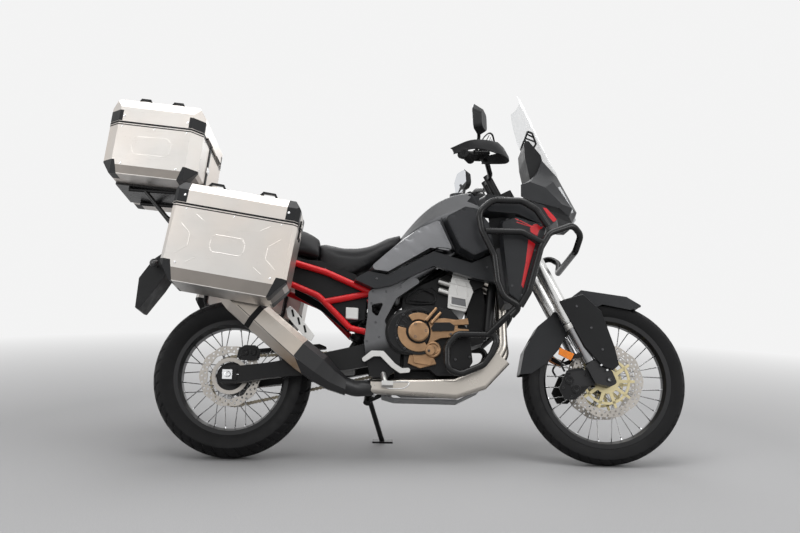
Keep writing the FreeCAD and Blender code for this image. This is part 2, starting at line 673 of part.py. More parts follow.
def rear_caliper():
    """Caliper over the rear disc, on its bracket round the axle."""
    middle = REAR_AXLE + V(REAR_DISC_RADIUS * 0.58, 0, REAR_DISC_RADIUS * 0.74)
    near = -REAR_DISC_OUT - DISC_THICKNESS
    body = Part.makeBox(REAR_CALIPER_LENGTH, REAR_CALIPER_WIDTH, REAR_CALIPER_HEIGHT,
                        middle + V(-REAR_CALIPER_LENGTH / 2, near - REAR_CALIPER_WIDTH * 0.45,
                                   -REAR_CALIPER_HEIGHT / 2))
    slot = ring(REAR_AXLE, REAR_DISC_RADIUS + RUNNING_GAP, REAR_DISC_INNER * 0.5, near - PAD_GAP,
                near + DISC_THICKNESS + PAD_GAP)
    return body.cut(slot)


# Engine
def slab(shares, right, left, radius):
    """A block of the engine between two distances out from the middle plane."""
    return prism([V(p.x, -right, p.z) for p in outline(shares, 0, LEFT)], right + left, radius)


def boss(centre, radii, outs):
    """A stepped round cover that stands out sideways, from (radius, distance out) steps."""
    points = [V(centre.x, outs[0], centre.z)]
    points += [V(centre.x, out, centre.z + radius) for radius, out in zip(radii, outs)]
    points.append(V(centre.x, outs[-1], centre.z))
    return Part.Face(Part.makePolygon(points + points[:1])).revolve(V(centre.x, 0, centre.z), AXIS_Y, 360)


def engine():
    """Crankcase with its clutch housing, cylinder head and driving sprocket of a parallel twin."""
    chain_side = CHAIN_OUT - CHAIN_WIDTH / 2 - RUNNING_GAP
    front_shares = [(0.69, 0.39), (0.69, 0.665), (0.77, 0.645), (0.83, 0.56), (0.845, 0.42), (0.81, 0.36),
                    (0.72, 0.36)]
    middle_shares = [(0.605, 0.385), (0.605, 0.655), (0.70, 0.665), (0.70, 0.385)]
    rear_shares = [(0.565, 0.40), (0.553, 0.60), (0.58, 0.65), (0.62, 0.655), (0.62, 0.385)]
    sump_shares = [(0.575, 0.30), (0.575, 0.41), (0.82, 0.41), (0.80, 0.32), (0.78, 0.285), (0.60, 0.285)]
    airbox_shares = [(0.595, 0.65), (0.60, 0.715), (0.67, 0.77), (0.76, 0.82), (0.775, 0.80), (0.77, 0.62)]
    front_case_shares = [(0.83, 0.55), (0.83, 0.80), (0.88, 0.80), (0.90, 0.66), (0.89, 0.52), (0.845, 0.50)]
    sump_half = COLLECTOR_OUT - COLLECTOR_RADIUS - RUNNING_GAP
    case = fuse([slab(front_shares, CRANKCASE_HALF, CRANKCASE_HALF, FRAME_TUBE),
                 slab(middle_shares, CRANKCASE_HALF, chain_side, 0.0),
                 slab(rear_shares, ARM_INNER - RUNNING_GAP, chain_side, FRAME_TUBE * 0.5),
                 slab(airbox_shares, CYLINDER_HALF * 0.82, CYLINDER_HALF * 0.82, FRAME_TUBE * 0.5),
                 slab(front_case_shares, CYLINDER_HALF * 0.6, CYLINDER_HALF * 0.6, FRAME_TUBE * 0.5),
                 slab(sump_shares, sump_half, sump_half, FRAME_TUBE * 0.5)])
    centre = V(FRONT_SPROCKET.x, 0, FRONT_SPROCKET.z)
    tip = pitch_radius(FRONT_TEETH) - CHAIN_HEIGHT / 2 - SEAT_GAP
    gear = sprocket_solid(centre, FRONT_TEETH, tip, tip - CHAIN_HEIGHT * 0.3, AXLE_RADIUS,
                          CHAIN_OUT - SPROCKET_THICKNESS / 2)
    shaft = rod(centre + AXIS_Y * (chain_side - CHAIN_WIDTH),
                centre + AXIS_Y * (CHAIN_OUT + SPROCKET_THICKNESS),
                AXLE_RADIUS)
    head_shares = [(0.765, 0.815), (0.762, 0.90), (0.87, 0.88), (0.90, 0.80), (0.88, 0.76), (0.845, 0.74)]
    head = slab(head_shares, CYLINDER_HALF * 1.05, CYLINDER_HALF * 1.05, FRAME_TUBE * 0.6)
    steps = CLUTCH_COVER_OUT - CRANKCASE_HALF
    housing = boss(CLUTCH_CENTRE, [CLUTCH_RADIUS, CLUTCH_RADIUS, CLUTCH_RADIUS * 0.88, CLUTCH_RADIUS * 0.8],
                   [-CRANKCASE_HALF, -CRANKCASE_HALF - steps * 0.45, -CRANKCASE_HALF - steps * 0.62,
                    -CRANKCASE_HALF - steps * 0.62])
    recess_shares = [(0.635, 0.675), (0.65, 0.73), (0.70, 0.757), (0.725, 0.735), (0.71, 0.67)]
    recess = slab(recess_shares, CYLINDER_HALF, -CYLINDER_HALF * 0.76, 0.0)
    return fuse([case, head, gear, shaft, housing]).cut(recess)


CLUTCH_CENTRE = at(0.6186, 0.5417)
CAP_CENTRE = at(0.654, 0.5417)


def cylinder_block():
    """The bare cast cylinder block, with its two intake stubs."""
    block_shares = [(0.777, 0.825), (0.824, 0.805), (0.848, 0.735), (0.821, 0.645), (0.757, 0.660),
                    (0.760, 0.74)]
    block = slab(block_shares, CYLINDER_HALF * 1.12, CYLINDER_HALF * 1.12, HUB_FLANGE)
    stubs = []
    for up_share in (0.735, 0.775):
        for side in (RIGHT, LEFT):
            out = CYLINDER_HALF * 0.98
            stubs.append(rod(at(0.775, up_share - 0.01, out, side), at(0.725, up_share + 0.008, out, side),
                             STUB_RADIUS))
    return fuse([block] + stubs)


def engine_covers():
    """Bronze caps: the stepped cap on the clutch housing, the pump cover ahead of it and the left cover."""
    steps = CLUTCH_COVER_OUT - CRANKCASE_HALF
    seat = -CRANKCASE_HALF - steps * 0.62
    cap = boss(CAP_CENTRE, [CAP_RADIUS, CAP_RADIUS, CAP_RADIUS * 0.86, CAP_RADIUS * 0.8],
               [seat, -CLUTCH_COVER_OUT + SCREEN_THICKNESS, -CLUTCH_COVER_OUT, -CLUTCH_COVER_OUT])
    pump_shares = [(0.675, 0.565), (0.70, 0.60), (0.745, 0.605), (0.79, 0.598), (0.79, 0.528), (0.73, 0.518),
                   (0.70, 0.50), (0.71, 0.44), (0.695, 0.40), (0.64, 0.41), (0.635, 0.47), (0.66, 0.49)]
    pump = slab(pump_shares, CRANKCASE_HALF + steps * 0.5, -CRANKCASE_HALF, HUB_FLANGE)
    filter_cap = boss(at(0.695, 0.462), [CAP_RADIUS * 0.5, CAP_RADIUS * 0.5, CAP_RADIUS * 0.42],
                      [-CRANKCASE_HALF, -CRANKCASE_HALF - steps * 0.75, -CRANKCASE_HALF - steps * 0.8])
    alternator = boss(at(0.73, 0.47), [CLUTCH_RADIUS * 0.7, CLUTCH_RADIUS * 0.66, CLUTCH_RADIUS * 0.36,
                                       CLUTCH_RADIUS * 0.36],
                      [CRANKCASE_HALF, CRANKCASE_HALF + steps * 0.6, CRANKCASE_HALF + steps * 0.66,
                       CRANKCASE_HALF + steps * 0.75])
    return Part.makeCompound([fuse([cap, pump, filter_cap]), alternator])


def exhaust_headers():
    """Two header pipes down the front of the engine into the shielded collector on the right."""
    headers = []
    for out, side in ((CYLINDER_HALF * 0.45, RIGHT), (CYLINDER_HALF * 0.45, LEFT)):
        points = [at(0.885, 0.80, out, side), at(0.95, 0.76, out, side),
                  at(0.955, 0.50, COLLECTOR_OUT * 0.8, RIGHT),
                  at(0.90, 0.36, COLLECTOR_OUT * 0.9, RIGHT), at(0.80, 0.318, COLLECTOR_OUT, RIGHT)]
        if side == LEFT:
            points[2] = at(0.965, 0.47, COLLECTOR_OUT * 0.4, RIGHT)
        headers.append(bar(points, HEADER_RADIUS, HEADER_RADIUS * 3))
    stations = [(0.492, 0.312, 0.030, 90), (0.66, 0.311, 0.037, 90), (0.785, 0.310, 0.044, 97),
                (0.868, 0.352, 0.052, 128),
                (0.945, 0.448, 0.047, 140)]
    sections = []
    for x_share, z_share, half_share, turn in stations:
        middle = at(x_share, z_share, COLLECTOR_OUT, RIGHT)
        across = V(cos(radians(turn)), 0, sin(radians(turn))) * (half_share * HEAD_HEIGHT)
        deep = AXIS_Y * COLLECTOR_RADIUS
        corners = [middle + across + deep, middle + across - deep, middle - across - deep,
                   middle - across + deep]
        sections.append(rounded(corners, COLLECTOR_RADIUS * 0.5))
    return fuse([loft(sections, True)] + headers)


def muffler():
    """Black link pipe, its end shell and the faceted silencer that climbs behind the pannier."""
    pipe_points = [at(0.50, 0.308, COLLECTOR_OUT, RIGHT), at(0.44, 0.298, COLLECTOR_OUT * 1.2, RIGHT),
                   at(0.365, 0.325, MUFFLER_OUT * 0.9, RIGHT), at(0.30, 0.388, MUFFLER_OUT, RIGHT)]
    pipe = bar(pipe_points, PIPE_RADIUS, PIPE_RADIUS * 3)
    mouth = at(0.262, 0.421, MUFFLER_OUT, RIGHT)
    axis = V(-cos(radians(MUFFLER_CLIMB_DEG)), 0, sin(radians(MUFFLER_CLIMB_DEG)))

    def facet_section(centre, height_share, width_share, climb_share):
        climb = radians(MUFFLER_CLIMB_DEG * climb_share)
        up = V(sin(climb), 0, cos(climb)) * (MUFFLER_HEIGHT * height_share)
        shares = [(-0.5, -0.22), (-0.5, 0.22), (-0.22, 0.5), (0.3, 0.5), (0.5, 0.2), (0.5, -0.2),
                  (0.3, -0.5), (-0.22, -0.5)]
        return Part.makePolygon([centre + up * a + AXIS_Y * (b * MUFFLER_WIDTH * width_share)
                                 for a, b in shares + shares[:1]])

    shell_stations = [(0.262, 0.421, 1.0, 1.0, 1.0, 1.0), (0.315, 0.374, 1.0, 0.97, 0.97, 0.95),
                      (0.360, 0.333, 0.94, 0.78, 0.82, 0.6), (0.408, 0.305, 0.80, 0.60, 0.68, 0.15)]
    shell = loft([facet_section(at(x, z, MUFFLER_OUT * out_share, RIGHT), height, width, climb)
                  for x, z, out_share, height, width, climb in shell_stations], True)
    body_end = mouth + axis * MUFFLER_LENGTH
    body = loft([facet_section(mouth, 1.0, 1.0, 1.0), facet_section(mouth + axis * (MUFFLER_LENGTH * 0.8),
                                                                    0.98, 1.0, 1.0),
                 facet_section(body_end, 0.7, 0.8, 1.0)], True)
    outlet = Part.makeCylinder(PIPE_RADIUS * 0.8, PIPE_RADIUS * 2, body_end - axis * PIPE_RADIUS, axis)
    return fuse([pipe, shell, body]).cut(outlet)


def radiators():
    """A core on each side ahead of the cylinder head, with its tanks."""
    core_shares = [(0.917, 0.90), (0.957, 0.91), (0.985, 0.67), (0.945, 0.66)]
    return both_sides(lambda side: panel(core_shares, SHROUD_OUT * 0.28, SHROUD_OUT * 0.86, side, 0.0,
                                         EDGE_RADIUS))


def skid_plate():
    """A pressed plate under the crankcase, turned up at the front."""
    upper_shares = [(0.53, 0.285), (0.575, 0.27), (0.80, 0.268), (0.875, 0.315), (0.92, 0.42)]
    thickness = PANEL_THICKNESS / 2
    top = [at(x, z) for x, z in upper_shares]
    lower = [point - V(0, 0, thickness) for point in top]
    half = COLLECTOR_OUT - COLLECTOR_RADIUS - RUNNING_GAP
    points = [V(p.x, -half, p.z) for p in top + list(reversed(lower))]
    return prism(points, half * 2 + COLLECTOR_RADIUS)


# Bodywork
def fuel_tank():
    """Tank and airbox cover: narrow at the seat, broad at the knees, with a narrow rounded ridge."""
    stations = [(0.585, (0.905, 0.55), (0.95, 0.62), (0.99, 0.20)),
                (0.65, (0.90, 0.75), (1.01, 0.82), (1.09, 0.24)),
                (0.73, (0.90, 0.90), (1.06, 0.95), (1.172, 0.28)),
                (0.81, (0.90, 0.92), (1.09, 0.96), (1.208, 0.30)),
                (0.888, (0.95, 0.85), (1.09, 0.90), (1.212, 0.28))]
    sections = []
    for x_share, *levels in stations:
        right = [at(x_share, z_share, half_share * TANK_HALF_WIDTH, RIGHT) for z_share, half_share in levels]
        left = [V(point.x, -point.y, point.z) for point in reversed(right)]
        sections.append(rounded(right + left, FRAME_TUBE * 2))
    cap = Part.makeCylinder(FRAME_TUBE * 2, FRAME_TUBE * 0.8, at(0.80, 1.20))
    return fuse([loft(sections), cap])


def side_panels():
    """The silver blades that rise from the seat's foot to the tank's shoulder."""
    blade_shares = [(0.466, 0.806), (0.536, 0.791), (0.703, 0.913), (0.785, 0.896), (0.729, 1.048),
                    (0.659, 1.014),
                    (0.595, 0.960), (0.526, 0.880)]
    return both_sides(lambda side: panel(blade_shares, PANEL_OUT - PANEL_THICKNESS * 3, PANEL_OUT, side,
                                         PANEL_THICKNESS, PANEL_THICKNESS))


def tank_covers():
    """Dark lower covers below the blades and the matte covers ahead of them."""
    lower_shares = [(0.418, 0.766), (0.468, 0.803), (0.540, 0.788), (0.706, 0.906), (0.843, 0.852),
                    (0.922, 0.897),
                    (0.945, 0.76), (0.843, 0.785), (0.708, 0.838), (0.553, 0.741), (0.492, 0.725)]
    upper_shares = [(0.732, 1.045), (0.807, 1.101), (0.852, 1.094), (0.905, 1.02), (0.92, 0.90),
                    (0.843, 0.856), (0.788, 0.892)]

    def side_cover(side):
        lower = panel(lower_shares, COVER_OUT - PANEL_THICKNESS * 3, COVER_OUT, side, PANEL_THICKNESS * 0.5,
                      EDGE_RADIUS)
        upper = panel(upper_shares, COVER_OUT - PANEL_THICKNESS * 2, SHROUD_OUT * 0.84, side,
                      PANEL_THICKNESS, PANEL_THICKNESS)
        return fuse([lower, upper])
    return both_sides(side_cover)


def radiator_shrouds():
    """The tall wings beside the radiators with the shoulder that runs forward to the cowl."""
    wing_shares = [(0.930, 1.02), (0.984, 1.044), (1.078, 1.011), (1.094, 0.990), (1.014, 0.661),
                   (0.992, 0.647),
                   (0.955, 0.680), (0.93, 0.90)]
    shoulder_shares = [(0.86, 1.149), (0.975, 1.137), (1.10, 1.097), (1.15, 1.03), (1.11, 0.982),
                       (0.975, 1.04), (0.868, 1.06)]

    def wing(side):
        blade = panel(wing_shares, SHROUD_OUT * 0.88, SHROUD_OUT, side, PANEL_THICKNESS, PANEL_THICKNESS)
        shoulder = panel(shoulder_shares, SHROUD_OUT * 0.62, SHROUD_OUT * 0.93, side, PANEL_THICKNESS * 1.4,
                         PANEL_THICKNESS)
        return fuse([blade, shoulder])
    return both_sides(wing)


def nose_cowl():
    """The pointed front fairing: tall hood in the middle, cheeks that fall back to each side."""
    profiles = [
        (0.0, [(1.125, 1.16), (1.10, 1.27), (1.113, 1.39), (1.165, 1.30), (1.236, 1.115), (1.215, 1.062),
               (1.16, 1.085)]),
        (0.34, [(1.125, 1.16), (1.09, 1.26), (1.100, 1.36), (1.157, 1.28), (1.226, 1.115), (1.208, 1.065),
                (1.15, 1.09)]),
        (0.52, [(1.055, 1.15), (1.03, 1.225), (1.078, 1.275), (1.135, 1.24), (1.20, 1.12), (1.19, 1.08),
                (1.11, 1.11)]),
        (0.66, [(1.012, 1.155), (1.012, 1.21), (1.045, 1.225), (1.10, 1.20), (1.158, 1.125), (1.15, 1.105),
                (1.07, 1.13)])]
    drawn = [[at(x, z, share * SHROUD_OUT, RIGHT) for x, z in shares] for share, shares in profiles]
    mirrored = [[V(p.x, -p.y, p.z) for p in points] for points in drawn[1:]]
    rings = list(reversed(drawn)) + mirrored
    return loft([Part.makePolygon(points + points[:1]) for points in rings], True)


def headlights():
    """Two slanted lamps in the nose."""
    lamp_shares = [(1.185, 1.235), (1.238, 1.105), (1.226, 1.088), (1.17, 1.19)]

    def lamp(side):
        inner = outline(lamp_shares, FRAME_TUBE * 0.8, side)
        outer = [point - V(LAMP_SWEEP, 0, 0) for point in outline(lamp_shares, SHROUD_OUT * 0.5, side,
                                                                  HUB_FLANGE)]
        return loft([rounded(inner, HUB_FLANGE), rounded(outer, HUB_FLANGE)], True)
    return both_sides(lamp)


def windscreen():
    """The curved clear screen standing on the cowl."""
    foot_shares = [(1.168, 1.30), (1.112, 1.425), (1.070, 1.545), (1.032, 1.665)]
    half_shares = [0.40, 0.56, 0.56, 0.38]
    sections = []
    for (x_share, z_share), half_share in zip(foot_shares, half_shares):
        half = half_share * SHROUD_OUT
        bow = half * 0.2
        middle = at(x_share, z_share)
        left = middle + V(-bow, half, 0)
        right = middle + V(-bow, -half, 0)
        back = V(-SCREEN_THICKNESS, 0, 0)
        front_arc = Part.Arc(left, middle, right).toShape()
        rear_arc = Part.Arc(right + back, middle + back, left + back).toShape()
        sections.append(Part.Wire([front_arc, Part.LineSegment(right, right + back).toShape(), rear_arc,
                                   Part.LineSegment(left + back, left).toShape()]))
    return loft(sections)


def instrument_panel():
    """Display housing and its hood behind the screen."""
    box_shares = [(1.062, 1.24), (1.040, 1.37), (1.036, 1.44), (1.052, 1.455), (1.098, 1.385), (1.125, 1.25)]
    return prism([V(p.x, -SHROUD_OUT * 0.33, p.z) for p in outline(box_shares, 0, LEFT)], SHROUD_OUT * 0.66,
                 EDGE_RADIUS)


def rider_seat():
    """The deep saddle: narrow at the tank, wide and low in the middle, rising behind."""
    stations = [(0.30, 0.845, 0.945, 0.95), (0.36, 0.80, 0.928, 1.0), (0.44, 0.82, 0.925, 0.96),
                (0.53, 0.89, 0.978, 0.66),
                (0.585, 0.945, 1.012, 0.42)]
    sections = [cross_section(x * HEAD_REACH, low * HEAD_HEIGHT, high * HEAD_HEIGHT,
                              half * SEAT_HALF_WIDTH * 0.82,
                              half * SEAT_HALF_WIDTH * 0.86, FRAME_TUBE) for x, low, high, half in stations]
    return loft(sections)


def pillion_seat():
    """The passenger's pad behind the saddle's step."""
    stations = [(-0.10, 0.945, 1.02, 0.66), (0.10, 0.92, 1.01, 0.84), (0.24, 0.89, 0.995, 0.95),
                (0.296, 0.87, 0.955, 0.95)]
    sections = [cross_section(x * HEAD_REACH, low * HEAD_HEIGHT, high * HEAD_HEIGHT, half * SEAT_HALF_WIDTH,
                              half * SEAT_HALF_WIDTH * 0.8, FRAME_TUBE) for x, low, high, half in stations]
    return loft(sections)


def tail_panel():
    """Tail cover between the subframe rails and the pillion pad."""
    stations = [(-0.20, 0.905, 0.955, 0.55), (-0.10, 0.90, 0.943, 0.75), (0.10, 0.86, 0.918, 0.85),
                (0.28, 0.80, 0.866, 0.85)]
    sections = [cross_section(x * HEAD_REACH, low * HEAD_HEIGHT, high * HEAD_HEIGHT,
                              half * SUBFRAME_OUT * 0.9,
                              half * SUBFRAME_OUT * 0.8, FRAME_TUBE * 0.5) for x, low, high, half in stations]
    tail = loft(sections)
    inner_shares = [(0.19, 0.865), (0.30, 0.86), (0.43, 0.80), (0.472, 0.72), (0.465, 0.60), (0.40, 0.585),
                    (0.30, 0.68), (0.20, 0.75)]
    walls = []
    for side in (RIGHT, LEFT):
        outer = side * (SUBFRAME_OUT - SUBFRAME_TUBE - SEAT_GAP)
        corners = [V(p.x, outer, p.z) for p in outline(inner_shares, 0, side)]
        walls.append(prism(corners, -side * PANEL_THICKNESS, FRAME_TUBE * 0.4))
    return fuse([tail] + walls)


def plate_holder():
    """The rear mudguard that hangs from the tail and carries plate, lamp and signals."""
    guard_shares = [(-0.175, 0.93), (-0.23, 0.925), (-0.30, 0.86), (-0.346, 0.775), (-0.352, 0.64),
                    (-0.338, 0.635),
                    (-0.275, 0.745), (-0.225, 0.85)]
    guard = prism([V(p.x, -FRAME_TUBE * 4, p.z) for p in outline(guard_shares, 0, LEFT)], FRAME_TUBE * 8,
                  EDGE_RADIUS)
    return guard


# Luggage
def pitched(shape, centre, angle):
    """Tip luggage nose-down about its own middle."""
    turned = shape.copy()
    turned.rotate(centre, AXIS_Y, angle)
    return turned


def chamfered_box(low, size, chamfer, bottom_chamfer):
    """A box with bevelled upright corners and bevelled lower ends."""
    x, y, z = size
    plan = [V(chamfer, 0, 0), V(x - chamfer, 0, 0), V(x, chamfer, 0), V(x, y - chamfer, 0),
            V(x - chamfer, y, 0), V(chamfer, y, 0), V(0, y - chamfer, 0), V(0, chamfer, 0)]
    prism_shape = Part.Face(Part.makePolygon(plan + [plan[0]])).extrude(V(0, 0, z))
    if bottom_chamfer:
        b = bottom_chamfer
        side = [V(b, 0, 0), V(x - b, 0, 0), V(x, 0, b * 1.3), V(x, 0, z), V(0, 0, z), V(0, 0, b * 1.3)]
        envelope = Part.Face(Part.makePolygon(side + [side[0]])).extrude(V(0, y, 0))
        prism_shape = prism_shape.common(envelope)
    prism_shape.translate(low)
    return prism_shape


def hollow_box(low, size, chamfer, bottom_chamfer, open_top):
    wall = V(BOX_WALL, BOX_WALL, BOX_WALL if open_top else 0)
    inner_size = (size[0] - BOX_WALL * 2, size[1] - BOX_WALL * 2, size[2] if open_top else size[2] - BOX_WALL)
    outer = chamfered_box(low, size, chamfer, bottom_chamfer)
    start = low + wall if open_top else low + wall - V(0, 0, BOX_WALL)
    if not open_top:
        inner_size = (inner_size[0], inner_size[1], size[2])
    inner = chamfered_box(start, inner_size, chamfer - BOX_WALL * 0.6, bottom_chamfer)
    return outer.cut(inner)


PANNIER_CENTRE = at(0.018, 0.807)
TOP_CASE_CENTRE = at(-0.300, 1.30)


def pannier_frame(side):
    """Low corner and size of a pannier before it is pitched."""
    width = PANNIER_OUT - PANNIER_IN
    low_y = -PANNIER_OUT if side == RIGHT else PANNIER_IN
    low = V(PANNIER_CENTRE.x - PANNIER_LENGTH / 2, low_y, PANNIER_CENTRE.z - PANNIER_DEPTH / 2)
    return low, (PANNIER_LENGTH, width, PANNIER_DEPTH)


def pannier_body(side):
    low, size = pannier_frame(side)
    shell = hollow_box(low, size, BOX_WALL * 5, CORNER_CHAMFER * 1.2, True)
    return pitched(with_fittings(shell, low, size, PANNIER_DEPTH, 1, False), PANNIER_CENTRE,
                   PANNIER_PITCH_DEG)


def lid_shape(low, size, chamfer):
    """A lid with a wall all round and a bevelled top edge."""
    x, y, z = size
    cap = chamfered_box(low, size, chamfer, 0)
    inset = z * 0.3
    top = [low + V(inset, inset, z), low + V(x - inset, inset, z), low + V(x - inset, y - inset, z),
           low + V(inset, y - inset, z)]
    base = [low + V(0, 0, z * 0.6), low + V(x, 0, z * 0.6), low + V(x, y, z * 0.6), low + V(0, y, z * 0.6)]
    crown = loft([Part.makePolygon(base + base[:1]), Part.makePolygon(top + top[:1])], True)
    band = chamfered_box(low, (x, y, z * 0.6), chamfer, 0)
    outer = band.fuse(crown.common(cap))
    cavity = chamfered_box(low + V(BOX_WALL, BOX_WALL, 0), (x - BOX_WALL * 2, y - BOX_WALL * 2, z * 0.6),
                           chamfer, 0)
    return outer.cut(cavity).removeSplitter()


def hinge_middle(low, size, depth, rearward):
    """Middle of a lid's hinge line, on the joint plane just outside the case's wall."""
    wall = low.x if rearward > 0 else low.x + size[0]
    return V(wall - rearward * HINGE_RADIUS, low.y + size[1] / 2, low.z + depth)


def hinge_knuckles(low, size, depth, rearward, on_lid):
    """Knuckles of a lid's hinge: two with the pin on the case, the bored one between them on the lid."""
    line = hinge_middle(low, size, depth, rearward)
    wall = line.x + rearward * HINGE_RADIUS
    half = size[1] * HINGE_LENGTH_SHARE / 2
    third = half / 3
    spans = [(-third + SEAT_GAP, third - SEAT_GAP)] if on_lid else [(-half, -third), (third, half)]
    rise = (LID_CLEARANCE, HINGE_RADIUS * 1.6) if on_lid else (-HINGE_RADIUS * 1.6, -LID_CLEARANCE)
    pieces = []
    for start, end in spans:
        knuckle = rod(line + AXIS_Y * start, line + AXIS_Y * end, HINGE_RADIUS - SEAT_GAP)
        leaf_low = V(min(wall + rearward * OVERRUN, line.x), line.y + start, line.z + rise[0])
        leaf = Part.makeBox(HINGE_RADIUS + OVERRUN, end - start, rise[1] - rise[0], leaf_low)
        pieces.append(fuse([knuckle, leaf]))
    pin = rod(line - AXIS_Y * half, line + AXIS_Y * half, HINGE_PIN + (AXLE_FIT if on_lid else 0))
    return [piece.cut(pin) for piece in pieces] if on_lid else [fuse(pieces + [pin])]


def latch_block(low, size, depth, rearward, on_lid):
    """The catch opposite the hinge: its plate on the case, its hasp on the lid."""
    wall = low.x + size[0] if rearward > 0 else low.x
    start = wall if rearward > 0 else wall - LATCH_THICKNESS
    height = LATCH_WIDTH * (0.5 if on_lid else 1.2)
    base = low.z + depth + (LID_CLEARANCE if on_lid else -height)
    return Part.makeBox(LATCH_THICKNESS, LATCH_WIDTH, height,
                        V(start, low.y + (size[1] - LATCH_WIDTH) / 2, base))


def with_fittings(shell, low, size, depth, rearward, on_lid):
    return fuse([shell] + hinge_knuckles(low, size, depth, rearward, on_lid)
                + [latch_block(low, size, depth, rearward, on_lid)])


def pannier_lid(side):
    low, size = pannier_frame(side)
    start = low + V(0, 0, PANNIER_DEPTH + LID_CLEARANCE)
    lid = lid_shape(start, (size[0], size[1], PANNIER_LID), BOX_WALL * 5)
    return pitched(with_fittings(lid, low, size, PANNIER_DEPTH, 1, True), PANNIER_CENTRE, PANNIER_PITCH_DEG)


def top_case_low():
    return V(TOP_CASE_CENTRE.x - TOP_CASE_LENGTH / 2, -TOP_CASE_WIDTH / 2,
             TOP_CASE_CENTRE.z - TOP_CASE_DEPTH / 2)


def top_case():
    size = (TOP_CASE_LENGTH, TOP_CASE_WIDTH, TOP_CASE_DEPTH)
    shell = hollow_box(top_case_low(), size, CORNER_CHAMFER, CORNER_CHAMFER * 0.9, True)
    return pitched(with_fittings(shell, top_case_low(), size, TOP_CASE_DEPTH, -1, False), TOP_CASE_CENTRE,
                   TOP_CASE_PITCH_DEG)


def top_case_lid():
    start = top_case_low() + V(0, 0, TOP_CASE_DEPTH + LID_CLEARANCE)
    size = (TOP_CASE_LENGTH, TOP_CASE_WIDTH, TOP_CASE_LID)
    lid = with_fittings(lid_shape(start, size, CORNER_CHAMFER), top_case_low(), size, TOP_CASE_DEPTH, -1,
                        True)
    return pitched(lid, TOP_CASE_CENTRE, TOP_CASE_PITCH_DEG)


def luggage_rack():
    """Base plate under the top case on two pairs of tubes that rise from the subframe."""
    bottom = TOP_CASE_CENTRE.z - TOP_CASE_DEPTH / 2 - SEAT_GAP
    plate = Part.makeBox(TOP_CASE_LENGTH * 0.8, TOP_CASE_WIDTH * 0.5, RACK_TUBE,
                         V(TOP_CASE_CENTRE.x - TOP_CASE_LENGTH * 0.4, -TOP_CASE_WIDTH * 0.25,
                           bottom - RACK_TUBE))
    plate = pitched(plate, TOP_CASE_CENTRE, TOP_CASE_PITCH_DEG)
    pieces = [plate]
    half = TOP_CASE_WIDTH * 0.2
    for side in (RIGHT, LEFT):
        front = [at(-0.02, 0.925, SUBFRAME_OUT, side), at(-0.06, 1.10, half, side),
                 at(-0.18, 1.158, half, side),
                 at(-0.40, 1.172, half, side)]
        rear = [at(-0.17, 0.955, SUBFRAME_OUT, side), at(-0.26, 1.05, half, side),
                at(-0.34, 1.165, half, side)]
        pieces += [bar(front, RACK_TUBE, RACK_TUBE * 5), bar(rear, RACK_TUBE, RACK_TUBE * 5)]
    return fuse(pieces)


def pannier_racks():
    """A hoop behind each pannier on stays from the subframe."""
    hoop_shares = [(0.17, 0.915), (-0.14, 0.965), (-0.16, 0.72), (0.14, 0.66)]
    solids = []
    for side in (RIGHT, LEFT):
        out = PANNIER_IN - RACK_TUBE - SEAT_GAP
        corners = [at(x, z, out, side) for x, z in hoop_shares]
        loop = [(corners[3] + corners[0]) * 0.5] + corners + [(corners[3] + corners[0]) * 0.5]
        hoop = bar(loop, RACK_TUBE, RACK_TUBE * 4)
        upper = rod(at(0.14, 0.872, SUBFRAME_OUT, side), at(0.10, 0.926, out, side), RACK_TUBE)
        rear = rod(at(-0.10, 0.936, SUBFRAME_OUT, side), at(-0.10, 0.955, out, side), RACK_TUBE)
        solids.append(fuse([hoop, upper, rear]))
    return Part.makeCompound(solids)


def crash_bars(side):
    """Upper hoop round the shroud and lower loop beside the engine, in one welded bar."""
    out = SHROUD_OUT + CRASH_TUBE * 2.6
    hoop_shares = [(0.965, 0.60), (0.994, 0.640), (0.935, 0.675), (0.915, 0.74), (0.905, 0.85),
                   (0.861, 0.961), (0.850, 1.04),
                   (0.90, 1.093), (1.00, 1.093), (1.05, 1.055), (1.09, 0.985)]
    outs = [0.88, 0.93, 1.0, 1.0, 1.0, 1.0, 1.0, 1.0, 1.0, 1.0, 0.97]
    hoop = bar([at(x, z, out * share, side) for (x, z), share in zip(hoop_shares, outs)], CRASH_TUBE,
               CRASH_TUBE * 4)
    front_shares = [(0.994, 0.640), (1.022, 0.70), (1.063, 0.889), (1.094, 0.955), (1.180, 1.000),
                    (1.212, 0.965),
                    (1.200, 0.905), (1.200, 0.905)]
    front_outs = [0.93, 0.95, 1.0, 0.99, 0.90, 0.80, 0.66, 0.0]
    front = bar([at(x, z, out * share, side) for (x, z), share in zip(front_shares, front_outs)], CRASH_TUBE,
                CRASH_TUBE * 3)
    middle_shares = [(0.874, 0.957), (0.953, 0.956), (1.0, 0.956), (1.075, 0.908)]
    middle = bar([at(x, z, out, side) for x, z in middle_shares], CRASH_TUBE, CRASH_TUBE * 4)
    lower_out = CLUTCH_COVER_OUT + CRASH_TUBE + RUNNING_GAP
    lower_shares = [(0.875, 0.40), (0.80, 0.36), (0.752, 0.38), (0.751, 0.477), (0.785, 0.530), (0.93, 0.53),
                    (0.905, 0.45)]
    loop = [at(x, z, lower_out, side) for x, z in lower_shares]
    lower = bar([(loop[-1] + loop[0]) * 0.5] + loop + [(loop[-1] + loop[0]) * 0.5], CRASH_TUBE,
                CRASH_TUBE * 3)
    stub = rod(at(0.80, 0.530, lower_out, side), at(0.80, 0.530, CRANKCASE_HALF, side), CRASH_TUBE)
    link = rod(at(0.89, 0.53, lower_out, side), at(0.985, 0.640, out * 0.93, side), CRASH_TUBE)
    return fuse([hoop, front, middle, lower, stub, link])


